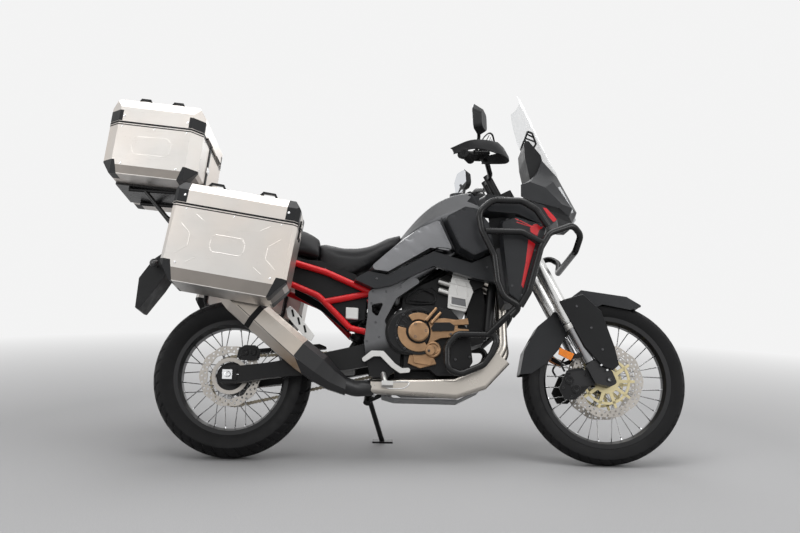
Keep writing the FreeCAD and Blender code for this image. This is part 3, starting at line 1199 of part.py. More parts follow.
def foot_controls():
    """Rider's pegs on their brackets, and the cast brake pedal and gear lever."""
    pieces = []
    pedal_shares = [(0.459, 0.419), (0.492, 0.454), (0.534, 0.454), (0.575, 0.401), (0.599, 0.382),
                    (0.626, 0.384),
                    (0.626, 0.365), (0.592, 0.361), (0.562, 0.385), (0.524, 0.431), (0.500, 0.430),
                    (0.468, 0.404)]
    for side in (RIGHT, LEFT):
        near = PLATE_OUT + PLATE_THICKNESS
        hanger = rod(at(0.535, 0.36, near, side), at(0.542, 0.32, near + FRAME_TUBE * 2, side),
                     FRAME_TUBE * 0.6)
        peg_low = at(0.53, 0.30, near + FRAME_TUBE * 1.2, side)
        peg = Part.makeBox(FRAME_TUBE * 2.4, PEG_LENGTH, FRAME_TUBE * 0.9,
                           peg_low if side > 0 else peg_low - V(0, PEG_LENGTH, 0))
        pedal_near = near + FRAME_TUBE * 1.1
        corners = [at(x, z, pedal_near, side) for x, z in pedal_shares]
        lever = prism(corners, side * PEDAL_THICKNESS, PEDAL_THICKNESS * 0.6)
        pivot = rod(at(0.525, 0.442, near, side), at(0.525, 0.442, pedal_near + PEDAL_THICKNESS, side),
                    PEDAL_THICKNESS * 0.7)
        pieces += [fuse([hanger, peg]), fuse([lever, pivot])]
    return Part.makeCompound(pieces)


# Steering
def fork_clamps():
    """Stem and both clamps, with the handlebar risers."""
    stem = rod(fork_at(LOWER_CLAMP_UP), fork_at(UPPER_CLAMP_UP + CLAMP_HEIGHT), STEM_RADIUS)
    pieces = [stem]
    for up in (LOWER_CLAMP_UP, UPPER_CLAMP_UP):
        corners = clamp_corners()
        plan = [fork_at(up, ahead, out, LEFT) for ahead, out in corners]
        plan += [fork_at(up, ahead, out, RIGHT) for ahead, out in reversed(corners)]
        pieces.append(Part.Face(rounded(plan, FRAME_TUBE * 0.8)).extrude(STEER_UP * CLAMP_HEIGHT))
    for side in (RIGHT, LEFT):
        foot = fork_at(UPPER_CLAMP_UP + CLAMP_HEIGHT * 0.5, FORK_AHEAD, FRAME_TUBE * 2.2, side)
        pieces.append(rod(foot, fork_at(BAR_UP + BAR_RADIUS * 1.3, FORK_AHEAD, FRAME_TUBE * 2.2, side),
                          FRAME_TUBE * 0.9))
    bores = []
    for side in (RIGHT, LEFT):
        bores.append(rod(fork_at(LOWER_CLAMP_UP - CLAMP_HEIGHT, FORK_AHEAD, FORK_HALF_SPREAD, side),
                         fork_at(FORK_TOP + CLAMP_HEIGHT, FORK_AHEAD, FORK_HALF_SPREAD, side),
                         OUTER_TUBE_RADIUS))
    return fuse(pieces).cut(bores)


def clamp_corners():
    """Corners of half a fork clamp in plan, each as the distance ahead of the axis and out from it."""
    reach = OUTER_TUBE_RADIUS * 1.45
    return [(-STEM_RADIUS * 1.8, STEM_RADIUS * 1.8),
            (FORK_AHEAD - reach * 0.8, FORK_HALF_SPREAD + reach * 0.8),
            (FORK_AHEAD + reach, FORK_HALF_SPREAD + reach * 0.8), (FORK_AHEAD + reach * 1.05, FRAME_TUBE)]


def swept_sector(low, reach, half_turn):
    """All that a blade of one reach sweeps about the steering axis, to one angle each side of ahead."""
    top = BAR_UP + CLAMP_HEIGHT * 2
    outward = FreeCAD.Rotation(STEER_UP, -half_turn).multVec(STEER_AHEAD) * reach
    corners = [fork_at(low), fork_at(low) + outward, fork_at(top) + outward, fork_at(top)]
    blade = Part.Face(Part.makePolygon(corners + corners[:1]))
    return blade.revolve(fork_at(low), STEER_UP, half_turn * 2)


def steering_room():
    """The room that the clamps and legs sweep from lock to lock, with a running gap."""
    turn = STEERING_LOCK_DEG + STEERING_MARGIN_DEG
    (back, near), (rear, far), (front, _), _ = clamp_corners()
    leg_turn = degrees(atan2(FORK_HALF_SPREAD, FORK_AHEAD)
                       + asin(OUTER_TUBE_RADIUS / FORK_HALF_SPREAD)) + turn
    sectors = [swept_sector(OUTER_TUBE_FOOT - CLAMP_HEIGHT,
                            hypot(FORK_AHEAD, FORK_HALF_SPREAD) + OUTER_TUBE_RADIUS + RUNNING_GAP, leg_turn)]
    steps = len(clamp_corners())
    for step in range(steps):
        inside = [start + (end - start) * step / steps for start, end in ((back, rear), (near, far))]
        outside = [start + (end - start) * (step + 1) / steps for start, end in ((back, rear), (near, far))]
        reach = hypot(*outside) if step < steps - 1 else hypot(front, far)
        sectors.append(swept_sector(LOWER_CLAMP_UP - RUNNING_GAP, reach + RUNNING_GAP,
                                    degrees(atan2(inside[1], inside[0])) + turn))
    return fuse(sectors)


def fork_legs():
    """Outer tubes, sliding tubes, axle feet and the hollow axle that ties them."""
    pieces = []
    foot_up = AXLE_UP + AXLE_RADIUS * 5
    for side in (RIGHT, LEFT):
        outer = rod(fork_at(OUTER_TUBE_FOOT, FORK_AHEAD, FORK_HALF_SPREAD, side),
                    fork_at(FORK_TOP, FORK_AHEAD, FORK_HALF_SPREAD, side), OUTER_TUBE_RADIUS)
        inner = rod(fork_at(foot_up, FORK_AHEAD, FORK_HALF_SPREAD, side),
                    fork_at(OUTER_TUBE_FOOT + CLAMP_HEIGHT, FORK_AHEAD, FORK_HALF_SPREAD, side),
                    INNER_TUBE_RADIUS)
        near = FORK_HALF_SPREAD - INNER_TUBE_RADIUS
        corners = [(AXLE_UP - AXLE_RADIUS * 2.2, AXLE_AHEAD - AXLE_RADIUS),
                   (AXLE_UP - AXLE_RADIUS * 2.2, AXLE_AHEAD + AXLE_RADIUS * 1.6),
                   (AXLE_UP + AXLE_RADIUS * 2, AXLE_AHEAD + AXLE_RADIUS * 2),
                   (foot_up + CLAMP_HEIGHT, FORK_AHEAD + INNER_TUBE_RADIUS * 1.2),
                   (foot_up + CLAMP_HEIGHT, FORK_AHEAD - INNER_TUBE_RADIUS * 1.3),
                   (AXLE_UP + AXLE_RADIUS, FORK_AHEAD - INNER_TUBE_RADIUS * 1.3)]
        plan = [fork_at(up, ahead, near, side) for up, ahead in corners]
        casting = Part.Face(rounded(plan, AXLE_RADIUS)).extrude(V(0, side * INNER_TUBE_RADIUS * 2, 0))
        lug_near = FRONT_CARRIER_OUT + (DISC_THICKNESS + FRONT_CALIPER_WIDTH) / 2 + SEAT_GAP
        reach_shares = [(0.10, 0.16), (-0.55, 0.28), (-1.02, 0.20), (-1.02, -0.22), (-0.55, -0.16),
                        (0.0, -0.10)]
        lug = prism([FRONT_AXLE + V(a * FRONT_DISC_RADIUS, side * lug_near, b * FRONT_DISC_RADIUS)
                     for a, b in reach_shares], side * CALIPER_LUG, HUB_FLANGE)
        pieces.append(fuse([outer, inner, casting, lug]))
    reach = FORK_HALF_SPREAD + INNER_TUBE_RADIUS * 1.2
    pieces.append(rod(FRONT_AXLE - AXIS_Y * reach, FRONT_AXLE + AXIS_Y * reach, AXLE_RADIUS))
    bore = rod(FRONT_AXLE - AXIS_Y * reach * 2, FRONT_AXLE + AXIS_Y * reach * 2, AXLE_BORE)
    return fuse(pieces).cut(bore)


def front_fender():
    """Mudguard close over the tyre, from the beak ahead to the skirt behind, bossed to the fork."""
    guard_shares = [(1.466, 0.699), (1.407, 0.742), (1.243, 0.768), (1.213, 0.74), (1.185, 0.705),
                    (1.085, 0.60),
                    (1.035, 0.49), (1.019, 0.385), (1.06, 0.39), (1.115, 0.436), (1.16, 0.50), (1.20, 0.60),
                    (1.25, 0.665), (1.32, 0.705), (1.419, 0.683)]
    half = FRONT_SECTION / 2 + FENDER_GAP + FENDER_WALL
    body = prism([V(p.x, -half, p.z) for p in outline(guard_shares, 0, LEFT)], half * 2, EDGE_RADIUS)
    inner = half - FENDER_WALL
    room = Part.makeCylinder(FRONT_RADIUS + FENDER_GAP * 1.5, inner * 2, FRONT_AXLE - AXIS_Y * inner, AXIS_Y)
    bosses = [rod(fork_at(FENDER_BOSS_UP, FORK_AHEAD, half - FENDER_WALL, side),
                  fork_at(FENDER_BOSS_UP, FORK_AHEAD, FORK_HALF_SPREAD, side),
                  FRAME_TUBE * 0.7) for side in (RIGHT, LEFT)]
    return fuse([body.cut(room)] + bosses)


def fork_guards():
    """Tall guard plates over the sliding tubes, ending above the axle so that its open ends stay free."""
    guard_shares = [(1.150, 0.70), (1.235, 0.735), (1.30, 0.66), (1.345, 0.50), (1.358, 0.425),
                    (1.335, 0.400), (1.30, 0.415), (1.235, 0.50), (1.185, 0.62)]
    near = FORK_HALF_SPREAD + OUTER_TUBE_RADIUS + SEAT_GAP
    return both_sides(lambda side: panel(guard_shares, near, near + PANEL_THICKNESS * 0.5, side,
                                         PANEL_THICKNESS * 0.3, EDGE_RADIUS))


def front_calipers():
    """Four-piston calipers behind the fork legs, astride the discs."""
    def caliper(side):
        middle = FRONT_AXLE + V(-FRONT_DISC_RADIUS * 0.90, 0, -FRONT_DISC_RADIUS * 0.08)
        inner, outer = sorted((side * (FRONT_CARRIER_OUT - PAD_GAP),
                               side * (FRONT_CARRIER_OUT + DISC_THICKNESS + PAD_GAP)))
        low = (inner + outer - FRONT_CALIPER_WIDTH) / 2
        body = Part.makeBox(FRONT_CALIPER_DEPTH, FRONT_CALIPER_WIDTH, FRONT_CALIPER_HEIGHT,
                            middle + V(-FRONT_CALIPER_DEPTH / 2, low, -FRONT_CALIPER_HEIGHT / 2))
        slot = ring(FRONT_AXLE, FRONT_DISC_RADIUS + RUNNING_GAP, FRONT_DISC_INNER * 0.5, inner, outer)
        return body.cut(slot)
    return both_sides(caliper)


def bar_places(side):
    """Corner points of one half of the bar, from the middle out: ahead, rise and reach in shares."""
    half_shares = [(0.0, 0.0, 0.0), (0.0, 0.0, 0.24), (-0.026, 0.079, 0.47), (-0.132, 0.088, 0.725),
                   (-0.314, 0.079, 1.0)]
    return [fork_at(BAR_UP + rise * BAR_HALF_WIDTH, FORK_AHEAD + ahead * BAR_HALF_WIDTH,
                    reach * BAR_HALF_WIDTH, side)
            for ahead, rise, reach in half_shares]


def handlebar():
    """Tapered bar: low in the middle, rising and sweeping back to the grips."""
    half = bar_places(LEFT)
    mirrored = [V(p.x, -p.y, p.z) for p in reversed(half[1:])]
    return bar(mirrored + half[1:], BAR_RADIUS * 0.8, BAR_RADIUS * 6)


def hand_controls():
    """Grips, switch blocks, levers and the two fluid reservoirs."""
    solids = []
    hole = BAR_RADIUS * 0.8 + SEAT_GAP
    for side in (RIGHT, LEFT):
        places = bar_places(side)
        inward = unit(places[3] - places[4])
        end = places[4] - inward * (GRIP_RADIUS * 0.5)
        grip = rod(end, end + inward * GRIP_LENGTH, GRIP_RADIUS)
        weight = rod(end - inward * GRIP_RADIUS, end, GRIP_RADIUS * 0.9)
        block_start = end + inward * GRIP_LENGTH
        block = rod(block_start, block_start + inward * GRIP_RADIUS * 2.2, GRIP_RADIUS * 1.35)
        knuckle = block_start + inward * GRIP_RADIUS * 1.4
        forward = unit(STEER_AHEAD - STEER_UP * 0.25)
        pivot = knuckle + forward * GRIP_RADIUS * 2.6
        perch = rod(knuckle, pivot, GRIP_RADIUS * 0.6)
        lever = bar([pivot, pivot - inward * GRIP_LENGTH * 0.35 + forward * GRIP_RADIUS,
                     pivot - inward * GRIP_LENGTH * 1.15],
                    GRIP_RADIUS * 0.33, GRIP_LENGTH * 0.4)
        cup = rod(pivot - forward * GRIP_RADIUS * 0.6,
                  pivot - forward * GRIP_RADIUS * 0.6 + STEER_UP * GRIP_RADIUS * 2.4, GRIP_RADIUS)
        core = rod(places[4], places[4] + inward * GRIP_LENGTH * 3, hole)
        solids.append(fuse([grip, weight, block, perch, lever, cup]).cut(core))
    return Part.makeCompound(solids)


def hand_guards():
    """Shells that wrap round the grips from the bar ends to the inner clamps."""
    stations = [(-0.33, 1.045, 0.07, 0.07), (-0.14, 1.075, 0.04, 0.10), (0.04, 0.99, -0.06, 0.20),
                (0.15, 0.82, -0.11, 0.23),
                (0.15, 0.64, -0.10, 0.18), (-0.03, 0.52, 0.02, 0.08)]

    def guard(side):
        sections = []
        for ahead, reach, rise_share, height in stations:
            middle = fork_at(BAR_UP + rise_share * BAR_HALF_WIDTH, FORK_AHEAD + ahead * BAR_HALF_WIDTH,
                             reach * BAR_HALF_WIDTH, side)
            rise = STEER_UP * (height * BAR_HALF_WIDTH / 2)
            skin = STEER_AHEAD * -SCREEN_THICKNESS - V(0, side * SCREEN_THICKNESS, 0)
            corners = [middle - rise, middle + rise, middle + rise + skin, middle - rise + skin]
            sections.append(Part.makePolygon(corners + corners[:1]))
        return loft(sections, True)
    return both_sides(guard)


def mirrors():
    """Rounded mirror heads on stalks from the switch blocks."""
    def mirror(side):
        foot = bar_places(side)[3] + STEER_UP * (GRIP_RADIUS * 1.2)
        head = at(0.836, 1.42, BAR_HALF_WIDTH * 0.9, side)
        stalk = bar([foot, foot + (head - foot) * 0.5 + V(FRAME_TUBE * 0.6, 0, 0),
                     head - V(0, 0, FRAME_TUBE)],
                    MIRROR_STALK, FRAME_TUBE * 3)
        face_shares = [(-0.46, -0.30), (-0.34, 0.46), (0.30, 0.50), (0.54, 0.16), (0.38, -0.50),
                       (-0.22, -0.52)]
        yaw = unit(V(-0.32, side, 0))
        front = [head + yaw * (a * MIRROR_WIDTH) + V(0, 0, b * MIRROR_HEIGHT) for a, b in face_shares]
        back = [head + yaw * (a * MIRROR_WIDTH * 0.7) + V(0, 0, b * MIRROR_HEIGHT * 0.7)
                + V(FRAME_TUBE * 1.7, 0, 0) for a, b in face_shares]
        shell = loft([rounded(front, FRAME_TUBE), rounded(back, FRAME_TUBE)], True)
        return fuse([shell, stalk])
    return both_sides(mirror)


STAND_PIVOT = at(0.481, 0.286, STAND_OUT, LEFT)
STAND_FOOT = upright_point(V(HEAD_REACH * STAND_AHEAD_SHARE, STAND_REACH, 0))
STAND_DOWN = STAND_FOOT - STAND_PIVOT
STAND_BACK = unit(V(-1, 0.17, 0.05))
STAND_AXIS = unit(STAND_DOWN.cross(STAND_BACK))


def side_stand():
    """Leg with an eye on the frame's pin and a flat foot on the ground."""
    eye_low = STAND_PIVOT + STAND_AXIS * SEAT_GAP
    eye = rod(eye_low, eye_low + STAND_AXIS * STAND_EYE_LENGTH, STAND_TUBE * 1.25)
    middle = STAND_PIVOT + STAND_AXIS * (SEAT_GAP + STAND_EYE_LENGTH / 2)
    leg = rod(middle, STAND_FOOT + (middle - STAND_FOOT) * 0.02, STAND_TUBE * 0.8)
    sole = V(HEAD_REACH * STAND_AHEAD_SHARE, STAND_REACH, 0)
    plate = Part.makeBox(STAND_FOOT_LENGTH, STAND_FOOT_WIDTH, STAND_FOOT_THICKNESS,
                         sole - V(STAND_FOOT_LENGTH / 2, STAND_FOOT_WIDTH / 2, 0))
    ground = Part.makeBox(STAND_FOOT_LENGTH * 3, STAND_FOOT_WIDTH * 4, STAND_FOOT_LENGTH,
                          sole - V(STAND_FOOT_LENGTH * 1.5, STAND_FOOT_WIDTH * 2, STAND_FOOT_LENGTH))
    hole = rod(STAND_PIVOT - STAND_AXIS * STAND_EYE_LENGTH, STAND_PIVOT + STAND_AXIS * STAND_EYE_LENGTH * 3,
               STAND_PIN + AXLE_FIT)
    return fuse([eye, leg, upright(plate)]).cut([hole, upright(ground)])


def stand_bracket():
    """The lug, pin and arm that carry the side stand under the engine."""
    lug = rod(STAND_PIVOT - STAND_AXIS * STAND_EYE_LENGTH, STAND_PIVOT, STAND_TUBE * 1.2)
    pin = rod(STAND_PIVOT - STAND_AXIS * STAND_EYE_LENGTH,
              STAND_PIVOT + STAND_AXIS * (STAND_EYE_LENGTH + STAND_PIN), STAND_PIN)
    cap_low = STAND_PIVOT + STAND_AXIS * (STAND_EYE_LENGTH + SEAT_GAP * 2)
    cap = rod(cap_low, cap_low + STAND_AXIS * STAND_PIN * 0.8, STAND_PIN * 1.8)
    root = at(0.60, 0.335, COLLECTOR_OUT - COLLECTOR_RADIUS - RUNNING_GAP * 3, LEFT)
    arm = rod(STAND_PIVOT - STAND_AXIS * STAND_EYE_LENGTH * 0.6, root, STAND_TUBE * 0.7)
    return fuse([lug, pin, cap, arm])


def rear_lights():
    """Tail lamp under the rack's end and two signals on stalks."""
    lamp_shares = [(-0.232, 0.905), (-0.262, 0.90), (-0.29, 0.85), (-0.262, 0.85)]
    lamp = prism([V(p.x, -FRAME_TUBE * 3, p.z) for p in outline(lamp_shares, 0, LEFT)], FRAME_TUBE * 6,
                 EDGE_RADIUS)
    pieces = [lamp]
    for side in (RIGHT, LEFT):
        root = at(-0.285, 0.83, FRAME_TUBE * 3.6, side)
        tip = at(-0.285, 0.83, FRAME_TUBE * 7, side)
        stalk = rod(root, tip, FRAME_TUBE * 0.35)
        pod = Part.makeSphere(FRAME_TUBE, tip)
        pieces.append(fuse([stalk, pod]))
    return Part.makeCompound(pieces)


def build_nodes():
    nodes = {
        "main_frame": main_frame, "subframe": subframe, "engine": engine, "engine_covers": engine_covers,
        "exhaust_headers": exhaust_headers, "muffler": muffler, "radiators": radiators, "swingarm": swingarm,
        "shock_absorber": shock_absorber, "drive_chain": drive_chain, "chain_guard": chain_guard,
        "rear_caliper": rear_caliper, "fuel_tank": fuel_tank, "side_panels": side_panels,
        "tank_covers": tank_covers, "radiator_shrouds": radiator_shrouds, "nose_cowl": nose_cowl,
        "windscreen": windscreen, "headlights": headlights, "instrument_panel": instrument_panel,
        "rider_seat": rider_seat, "pillion_seat": pillion_seat, "tail_panel": tail_panel,
        "plate_holder": plate_holder, "luggage_rack": luggage_rack, "pannier_racks": pannier_racks,
        "top_case": top_case, "top_case_lid": top_case_lid,
        "pannier_right": lambda: pannier_body(RIGHT), "pannier_right_lid": lambda: pannier_lid(RIGHT),
        "pannier_left": lambda: pannier_body(LEFT), "pannier_left_lid": lambda: pannier_lid(LEFT),
        "crash_bars_right": lambda: crash_bars(RIGHT), "crash_bars_left": lambda: crash_bars(LEFT),
        "skid_plate": skid_plate, "foot_controls": foot_controls,
        "fork_clamps": fork_clamps, "fork_legs": fork_legs, "fork_guards": fork_guards,
        "hand_controls": hand_controls, "hand_guards": hand_guards, "mirrors": mirrors,
        "cylinder_block": cylinder_block, "side_stand": side_stand, "stand_bracket": stand_bracket,
        "rear_lights": rear_lights, "front_fender": front_fender, "front_calipers": front_calipers,
        "handlebar": handlebar,
        "front_tyre": front_tyre, "front_wheel_rim": front_wheel_rim, "front_discs": front_discs,
        "front_disc_carriers": front_disc_carriers,
        "rear_tyre": rear_tyre, "rear_wheel_rim": rear_wheel_rim, "rear_disc": rear_disc,
        "rear_sprocket": rear_sprocket,
    }
    return nodes


def fitted(solids):
    """Cut each piece round the neighbours that it is set against."""
    neighbours = {
        "fuel_tank": ["main_frame", "engine", "cylinder_block", "rider_seat", "steering_room"],
        "side_panels": ["fuel_tank", "main_frame", "rider_seat"],
        "tank_covers": ["fuel_tank", "main_frame", "side_panels", "subframe", "engine", "radiators"],
        "radiator_shrouds": ["tank_covers", "radiators", "crash_bars_right", "crash_bars_left", "nose_cowl"],
        "nose_cowl": ["headlights", "windscreen", "instrument_panel", "main_frame"],
        "tail_panel": ["subframe", "pillion_seat", "rider_seat", "main_frame", "shock_absorber"],
        "pannier_racks": ["subframe"], "luggage_rack": ["subframe", "top_case"],
        "radiators": ["main_frame", "engine", "exhaust_headers", "steering_room"],
        "cylinder_block": ["engine"], "fork_clamps": ["handlebar"],
        "hand_guards": ["hand_controls", "handlebar"],
        "front_fender": ["fork_legs", "fork_guards"], "fork_guards": ["fork_legs"],
        "muffler": ["exhaust_headers"], "exhaust_headers": ["engine", "cylinder_block", "main_frame",
                                                            "skid_plate"],
        "main_frame": ["engine", "cylinder_block"], "engine_covers": ["engine"],
        "plate_holder": ["rear_lights", "tail_panel"], "foot_controls": ["main_frame"],
        "crash_bars_right": ["engine", "engine_covers", "main_frame", "exhaust_headers"],
        "crash_bars_left": ["engine", "engine_covers", "main_frame"],
        "mirrors": ["hand_controls"], "hand_controls": ["handlebar"], "front_calipers": ["fork_legs"],
        "shock_absorber": ["swingarm", "main_frame"], "stand_bracket": ["engine"], "subframe": ["main_frame"],
    }
    order = ["cylinder_block", "main_frame", "subframe", "engine_covers", "exhaust_headers", "fuel_tank",
             "side_panels", "tank_covers",
             "crash_bars_right", "crash_bars_left"]
    order += [name for name in neighbours if name not in order]
    rooms = dict(solids, steering_room=steering_room())
    for name in order:
        rooms[name] = rooms[name].cut([rooms[other] for other in neighbours[name]])
    return {name: rooms[name] for name in solids}


os.makedirs("parts", exist_ok=True)
drawn = {name: make() for name, make in build_nodes().items()}
nodes = {name: parked(solid) for name, solid in fitted(drawn).items()}
everything = Part.makeCompound(list(nodes.values())).optimalBoundingBox(False, False)
ROW_SHIFT = V(-everything.Center.x, -everything.Center.y, 0)
for name, shape in nodes.items():
    shape.translate(ROW_SHIFT)
    shape.exportStep("parts/" + name + ".step")
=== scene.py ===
"""Looks of the adventure motorcycle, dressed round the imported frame."""
import json
from math import atan2, cos, pi, radians, sin

import bmesh
import bpy
from mathutils import Matrix, Vector
from mathutils.bvhtree import BVHTree
from mathutils.geometry import delaunay_2d_cdt


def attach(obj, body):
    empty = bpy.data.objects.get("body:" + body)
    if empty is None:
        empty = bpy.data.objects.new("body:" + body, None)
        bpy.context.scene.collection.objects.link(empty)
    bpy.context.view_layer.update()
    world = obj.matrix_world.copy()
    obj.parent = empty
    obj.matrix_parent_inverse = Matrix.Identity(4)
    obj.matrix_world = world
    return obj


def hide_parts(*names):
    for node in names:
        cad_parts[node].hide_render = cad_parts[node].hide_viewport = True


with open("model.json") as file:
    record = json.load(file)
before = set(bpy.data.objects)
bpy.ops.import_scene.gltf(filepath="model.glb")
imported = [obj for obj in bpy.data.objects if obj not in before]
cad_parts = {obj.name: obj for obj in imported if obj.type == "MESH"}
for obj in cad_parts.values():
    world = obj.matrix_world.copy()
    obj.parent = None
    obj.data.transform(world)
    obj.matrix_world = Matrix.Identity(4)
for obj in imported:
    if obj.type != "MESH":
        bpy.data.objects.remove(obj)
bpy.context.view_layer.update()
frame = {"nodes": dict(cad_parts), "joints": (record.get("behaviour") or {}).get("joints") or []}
NODES = frame["nodes"]
JOINTS = {joint["name"]: joint for joint in frame["joints"]}
RIGHT, LEFT = -1, 1
SIDES = ((RIGHT, "right"), (LEFT, "left"))

# The upright machine's own axes, worked out from the two axles
REAR_AXLE = Vector(JOINTS["rear_wheel_spin"]["pos_m"])
FRONT_AXLE = Vector(JOINTS["front_wheel_spin"]["pos_m"])
LATERAL = Vector(JOINTS["rear_wheel_spin"]["axis"]).normalized()


def reach_from(node, centre):
    """The largest distance of a node's corners from the lateral line through a centre."""
    offsets = [v.co - centre for v in NODES[node].data.vertices]
    return max((offset - LATERAL * offset.dot(LATERAL)).length for offset in offsets)


REAR_REACH, FRONT_REACH = reach_from("rear_tyre", REAR_AXLE), reach_from("front_tyre", FRONT_AXLE)
span = FRONT_AXLE - REAR_AXLE
climb = atan2(FRONT_REACH - REAR_REACH, span.length)
along, above = span.normalized(), span.normalized().cross(LATERAL)
FORWARD = along * cos(climb) - above * sin(climb)
UPWARD = along * sin(climb) + above * cos(climb)
GROUND = REAR_AXLE - UPWARD * REAR_REACH
UPRIGHT = Matrix((FORWARD, LATERAL, UPWARD)).transposed().to_4x4()
UPRIGHT.translation = GROUND
BACK = UPRIGHT.inverted()

# Camera, as measured from the photograph, about the rear tyre's contact
CAMERA_PLACE = Vector((0.630, -4.176, 0.963))
CAMERA_YAW, CAMERA_PITCH, CAMERA_ROLL = radians(-0.9), radians(-1.99), radians(1.3)
CAMERA_LENS, CAMERA_SENSOR, CAMERA_REACH = 45.36, 36.0, 60


def make_camera():
    data = bpy.data.cameras.new("camera")
    data.lens, data.sensor_width, data.clip_end = CAMERA_LENS, CAMERA_SENSOR, CAMERA_REACH
    camera = bpy.data.objects.new("camera", data)
    bpy.context.scene.collection.objects.link(camera)
    level = cos(CAMERA_PITCH)
    ahead = Vector((-sin(CAMERA_YAW) * level, cos(CAMERA_YAW) * level, sin(CAMERA_PITCH)))
    right = Vector((cos(CAMERA_YAW), sin(CAMERA_YAW), 0))
    up = right.cross(ahead)
    across = right * cos(CAMERA_ROLL) + up * sin(CAMERA_ROLL)
    rise = up * cos(CAMERA_ROLL) - right * sin(CAMERA_ROLL)
    turn = Matrix((across, rise, -ahead)).transposed().to_4x4()
    turn.translation = Vector((GROUND.x, GROUND.y, 0)) + CAMERA_PLACE
    camera.matrix_world = turn
    bpy.context.scene.camera = camera


# Materials
class Tree:
    """A material's nodes, with short ways to add and join them."""

    def __init__(self, name):
        self.material = bpy.data.materials.new(name)
        self.material.use_nodes = True
        self.nodes = self.material.node_tree.nodes
        self.shader = self.nodes["Principled BSDF"]

    def node(self, kind, inputs, **settings):
        made = self.nodes.new("ShaderNode" + kind)
        for key, value in settings.items():
            setattr(made, key, value)
        for key, value in inputs.items():
            self.put(made.inputs[key], value)
        return made

    def put(self, socket, value):
        if isinstance(value, bpy.types.NodeSocket):
            self.material.node_tree.links.new(value, socket)
        else:
            socket.default_value = value

    def paint(self, colour=None, metal=None, rough=None, normal=None):
        """Joins what is given to the shader."""
        given = {"Base Color": colour, "Metallic": metal, "Roughness": rough, "Normal": normal}
        for key, value in given.items():
            if value is not None:
                self.put(self.shader.inputs[key], value)

    def maths(self, operation, first, second=0.0, clamp=False):
        return self.node("Math", {0: first, 1: second}, operation=operation, use_clamp=clamp).outputs[0]

    def times(self, first, second):
        return self.maths("MULTIPLY", first, second)

    def vector(self, operation, first, second=(0, 0, 0)):
        outputs = self.node("VectorMath", {0: first, 1: second}, operation=operation).outputs
        return outputs["Value" if operation in ("DOT_PRODUCT", "LENGTH") else "Vector"]

    def mix(self, share, first, second):
        made = self.node("Mix", {"Factor": share}, data_type="RGBA")
        for socket, value in zip([s for s in made.inputs if s.type == "RGBA"], (first, second)):
            self.put(socket, value)
        return [s for s in made.outputs if s.type == "RGBA"][0]

    def spread(self, value, low, high, new_low=0.0, new_high=1.0):
        return self.node("MapRange", {0: value, 1: low, 2: high, 3: new_low, 4: new_high}).outputs[0]

    def coordinates(self, matrix=None):
        """Object coordinates, turned into a local frame where one is given."""
        place = self.node("TexCoord", {}).outputs["Object"]
        if matrix is None:
            return place
        back = matrix.inverted()
        turned = {"Vector": place, "Location": back.translation, "Rotation": back.to_euler()}
        return self.node("Mapping", turned).outputs[0]

    def noise(self, scale, detail=3.0, place=None, rough=0.5):
        inputs = {"Scale": scale, "Detail": detail, "Roughness": rough}
        inputs["Vector"] = self.coordinates() if place is None else place
        return self.node("TexNoise", inputs).outputs[0]

    def clouds(self, scale, detail, place, first, second):
        """One colour drifting into another."""
        return self.mix(self.spread(self.noise(scale, detail, place), 0.3, 0.7), first, second)


def shade(colour, factor):
    return tuple(min(1.0, c * factor) for c in colour[:3]) + (1.0,)


BUMP_DEPTH, COAT_ROUGHNESS = 0.0006, 0.08


def finish(name, colour, rough=0.5, metal=0.0, mottle=0.12, mottle_scale=9.0, grain=0.0, grain_scale=900.0,
           brush=None, brush_strength=0.25, edge=0.0012, wear=0.0, wear_colour=(0.6, 0.6, 0.6, 1), coat=0.0,
           specular=0.5, matrix=None):
    """A surface with colour variation, uneven gloss, fine grain, softened edges and worn ones."""
    tree = Tree(name)
    place = tree.coordinates(matrix)
    tint = tree.clouds(mottle_scale, 4.0, place, shade(colour, 1 - mottle), shade(colour, 1 + mottle))
    if brush is None:
        height = tree.noise(grain_scale, 2.0, place)
        cloud = tree.noise(mottle_scale * 3.1, 5.0, place)
        gloss = tree.spread(cloud, 0.3, 0.7, rough * 0.86, min(1.0, rough * 1.14))
    else:
        height = tree.noise(1.0, 4.0, tree.node("Mapping", {"Vector": place, "Scale": brush}).outputs[0], 0.7)
        grain = max(grain, brush_strength)
        tint = tree.mix(tree.times(tree.spread(height, 0.25, 0.75), 0.5), tint, shade(colour, 1.05))
        gloss = tree.spread(height, 0.3, 0.7, rough * 0.8, min(1.0, rough * 1.25))
    normal = tree.node("Bevel", {"Radius": edge}, samples=3).outputs[0] if edge else None
    if wear:
        turned = tree.vector("DOT_PRODUCT", normal, tree.node("NewGeometry", {}).outputs["Normal"])
        patches = tree.spread(tree.noise(60.0, 4.0, place), 0.42, 0.6)
        rub = tree.maths("MULTIPLY", tree.spread(turned, 0.995, 0.93), patches, clamp=True)
        tint = tree.mix(tree.times(rub, wear), tint, wear_colour)
    if grain:
        bump = tree.node("Bump", {"Strength": grain, "Distance": BUMP_DEPTH, "Height": height})
        if normal is not None:
            tree.put(bump.inputs["Normal"], normal)
        normal = bump.outputs[0]
    tree.paint(tint, metal, gloss, normal)
    for key, value in (("Coat Weight", coat), ("Coat Roughness", COAT_ROUGHNESS),
                       ("Specular IOR Level", specular)):
        tree.shader.inputs[key].default_value = value
    tree.tint = tint
    return tree


def beyond(tree, place, point, normal, soft=0.6):
    """One past a plane of the upright machine and nought before it.

    The point and the direction are in x and z, in millimetres."""
    away = tree.vector("SUBTRACT", place, (point[0] * 0.001, 0, point[1] * 0.001))
    reach = tree.vector("DOT_PRODUCT", away, (normal[0], 0, normal[1]))
    return tree.spread(reach, -soft * 0.001, soft * 0.001)


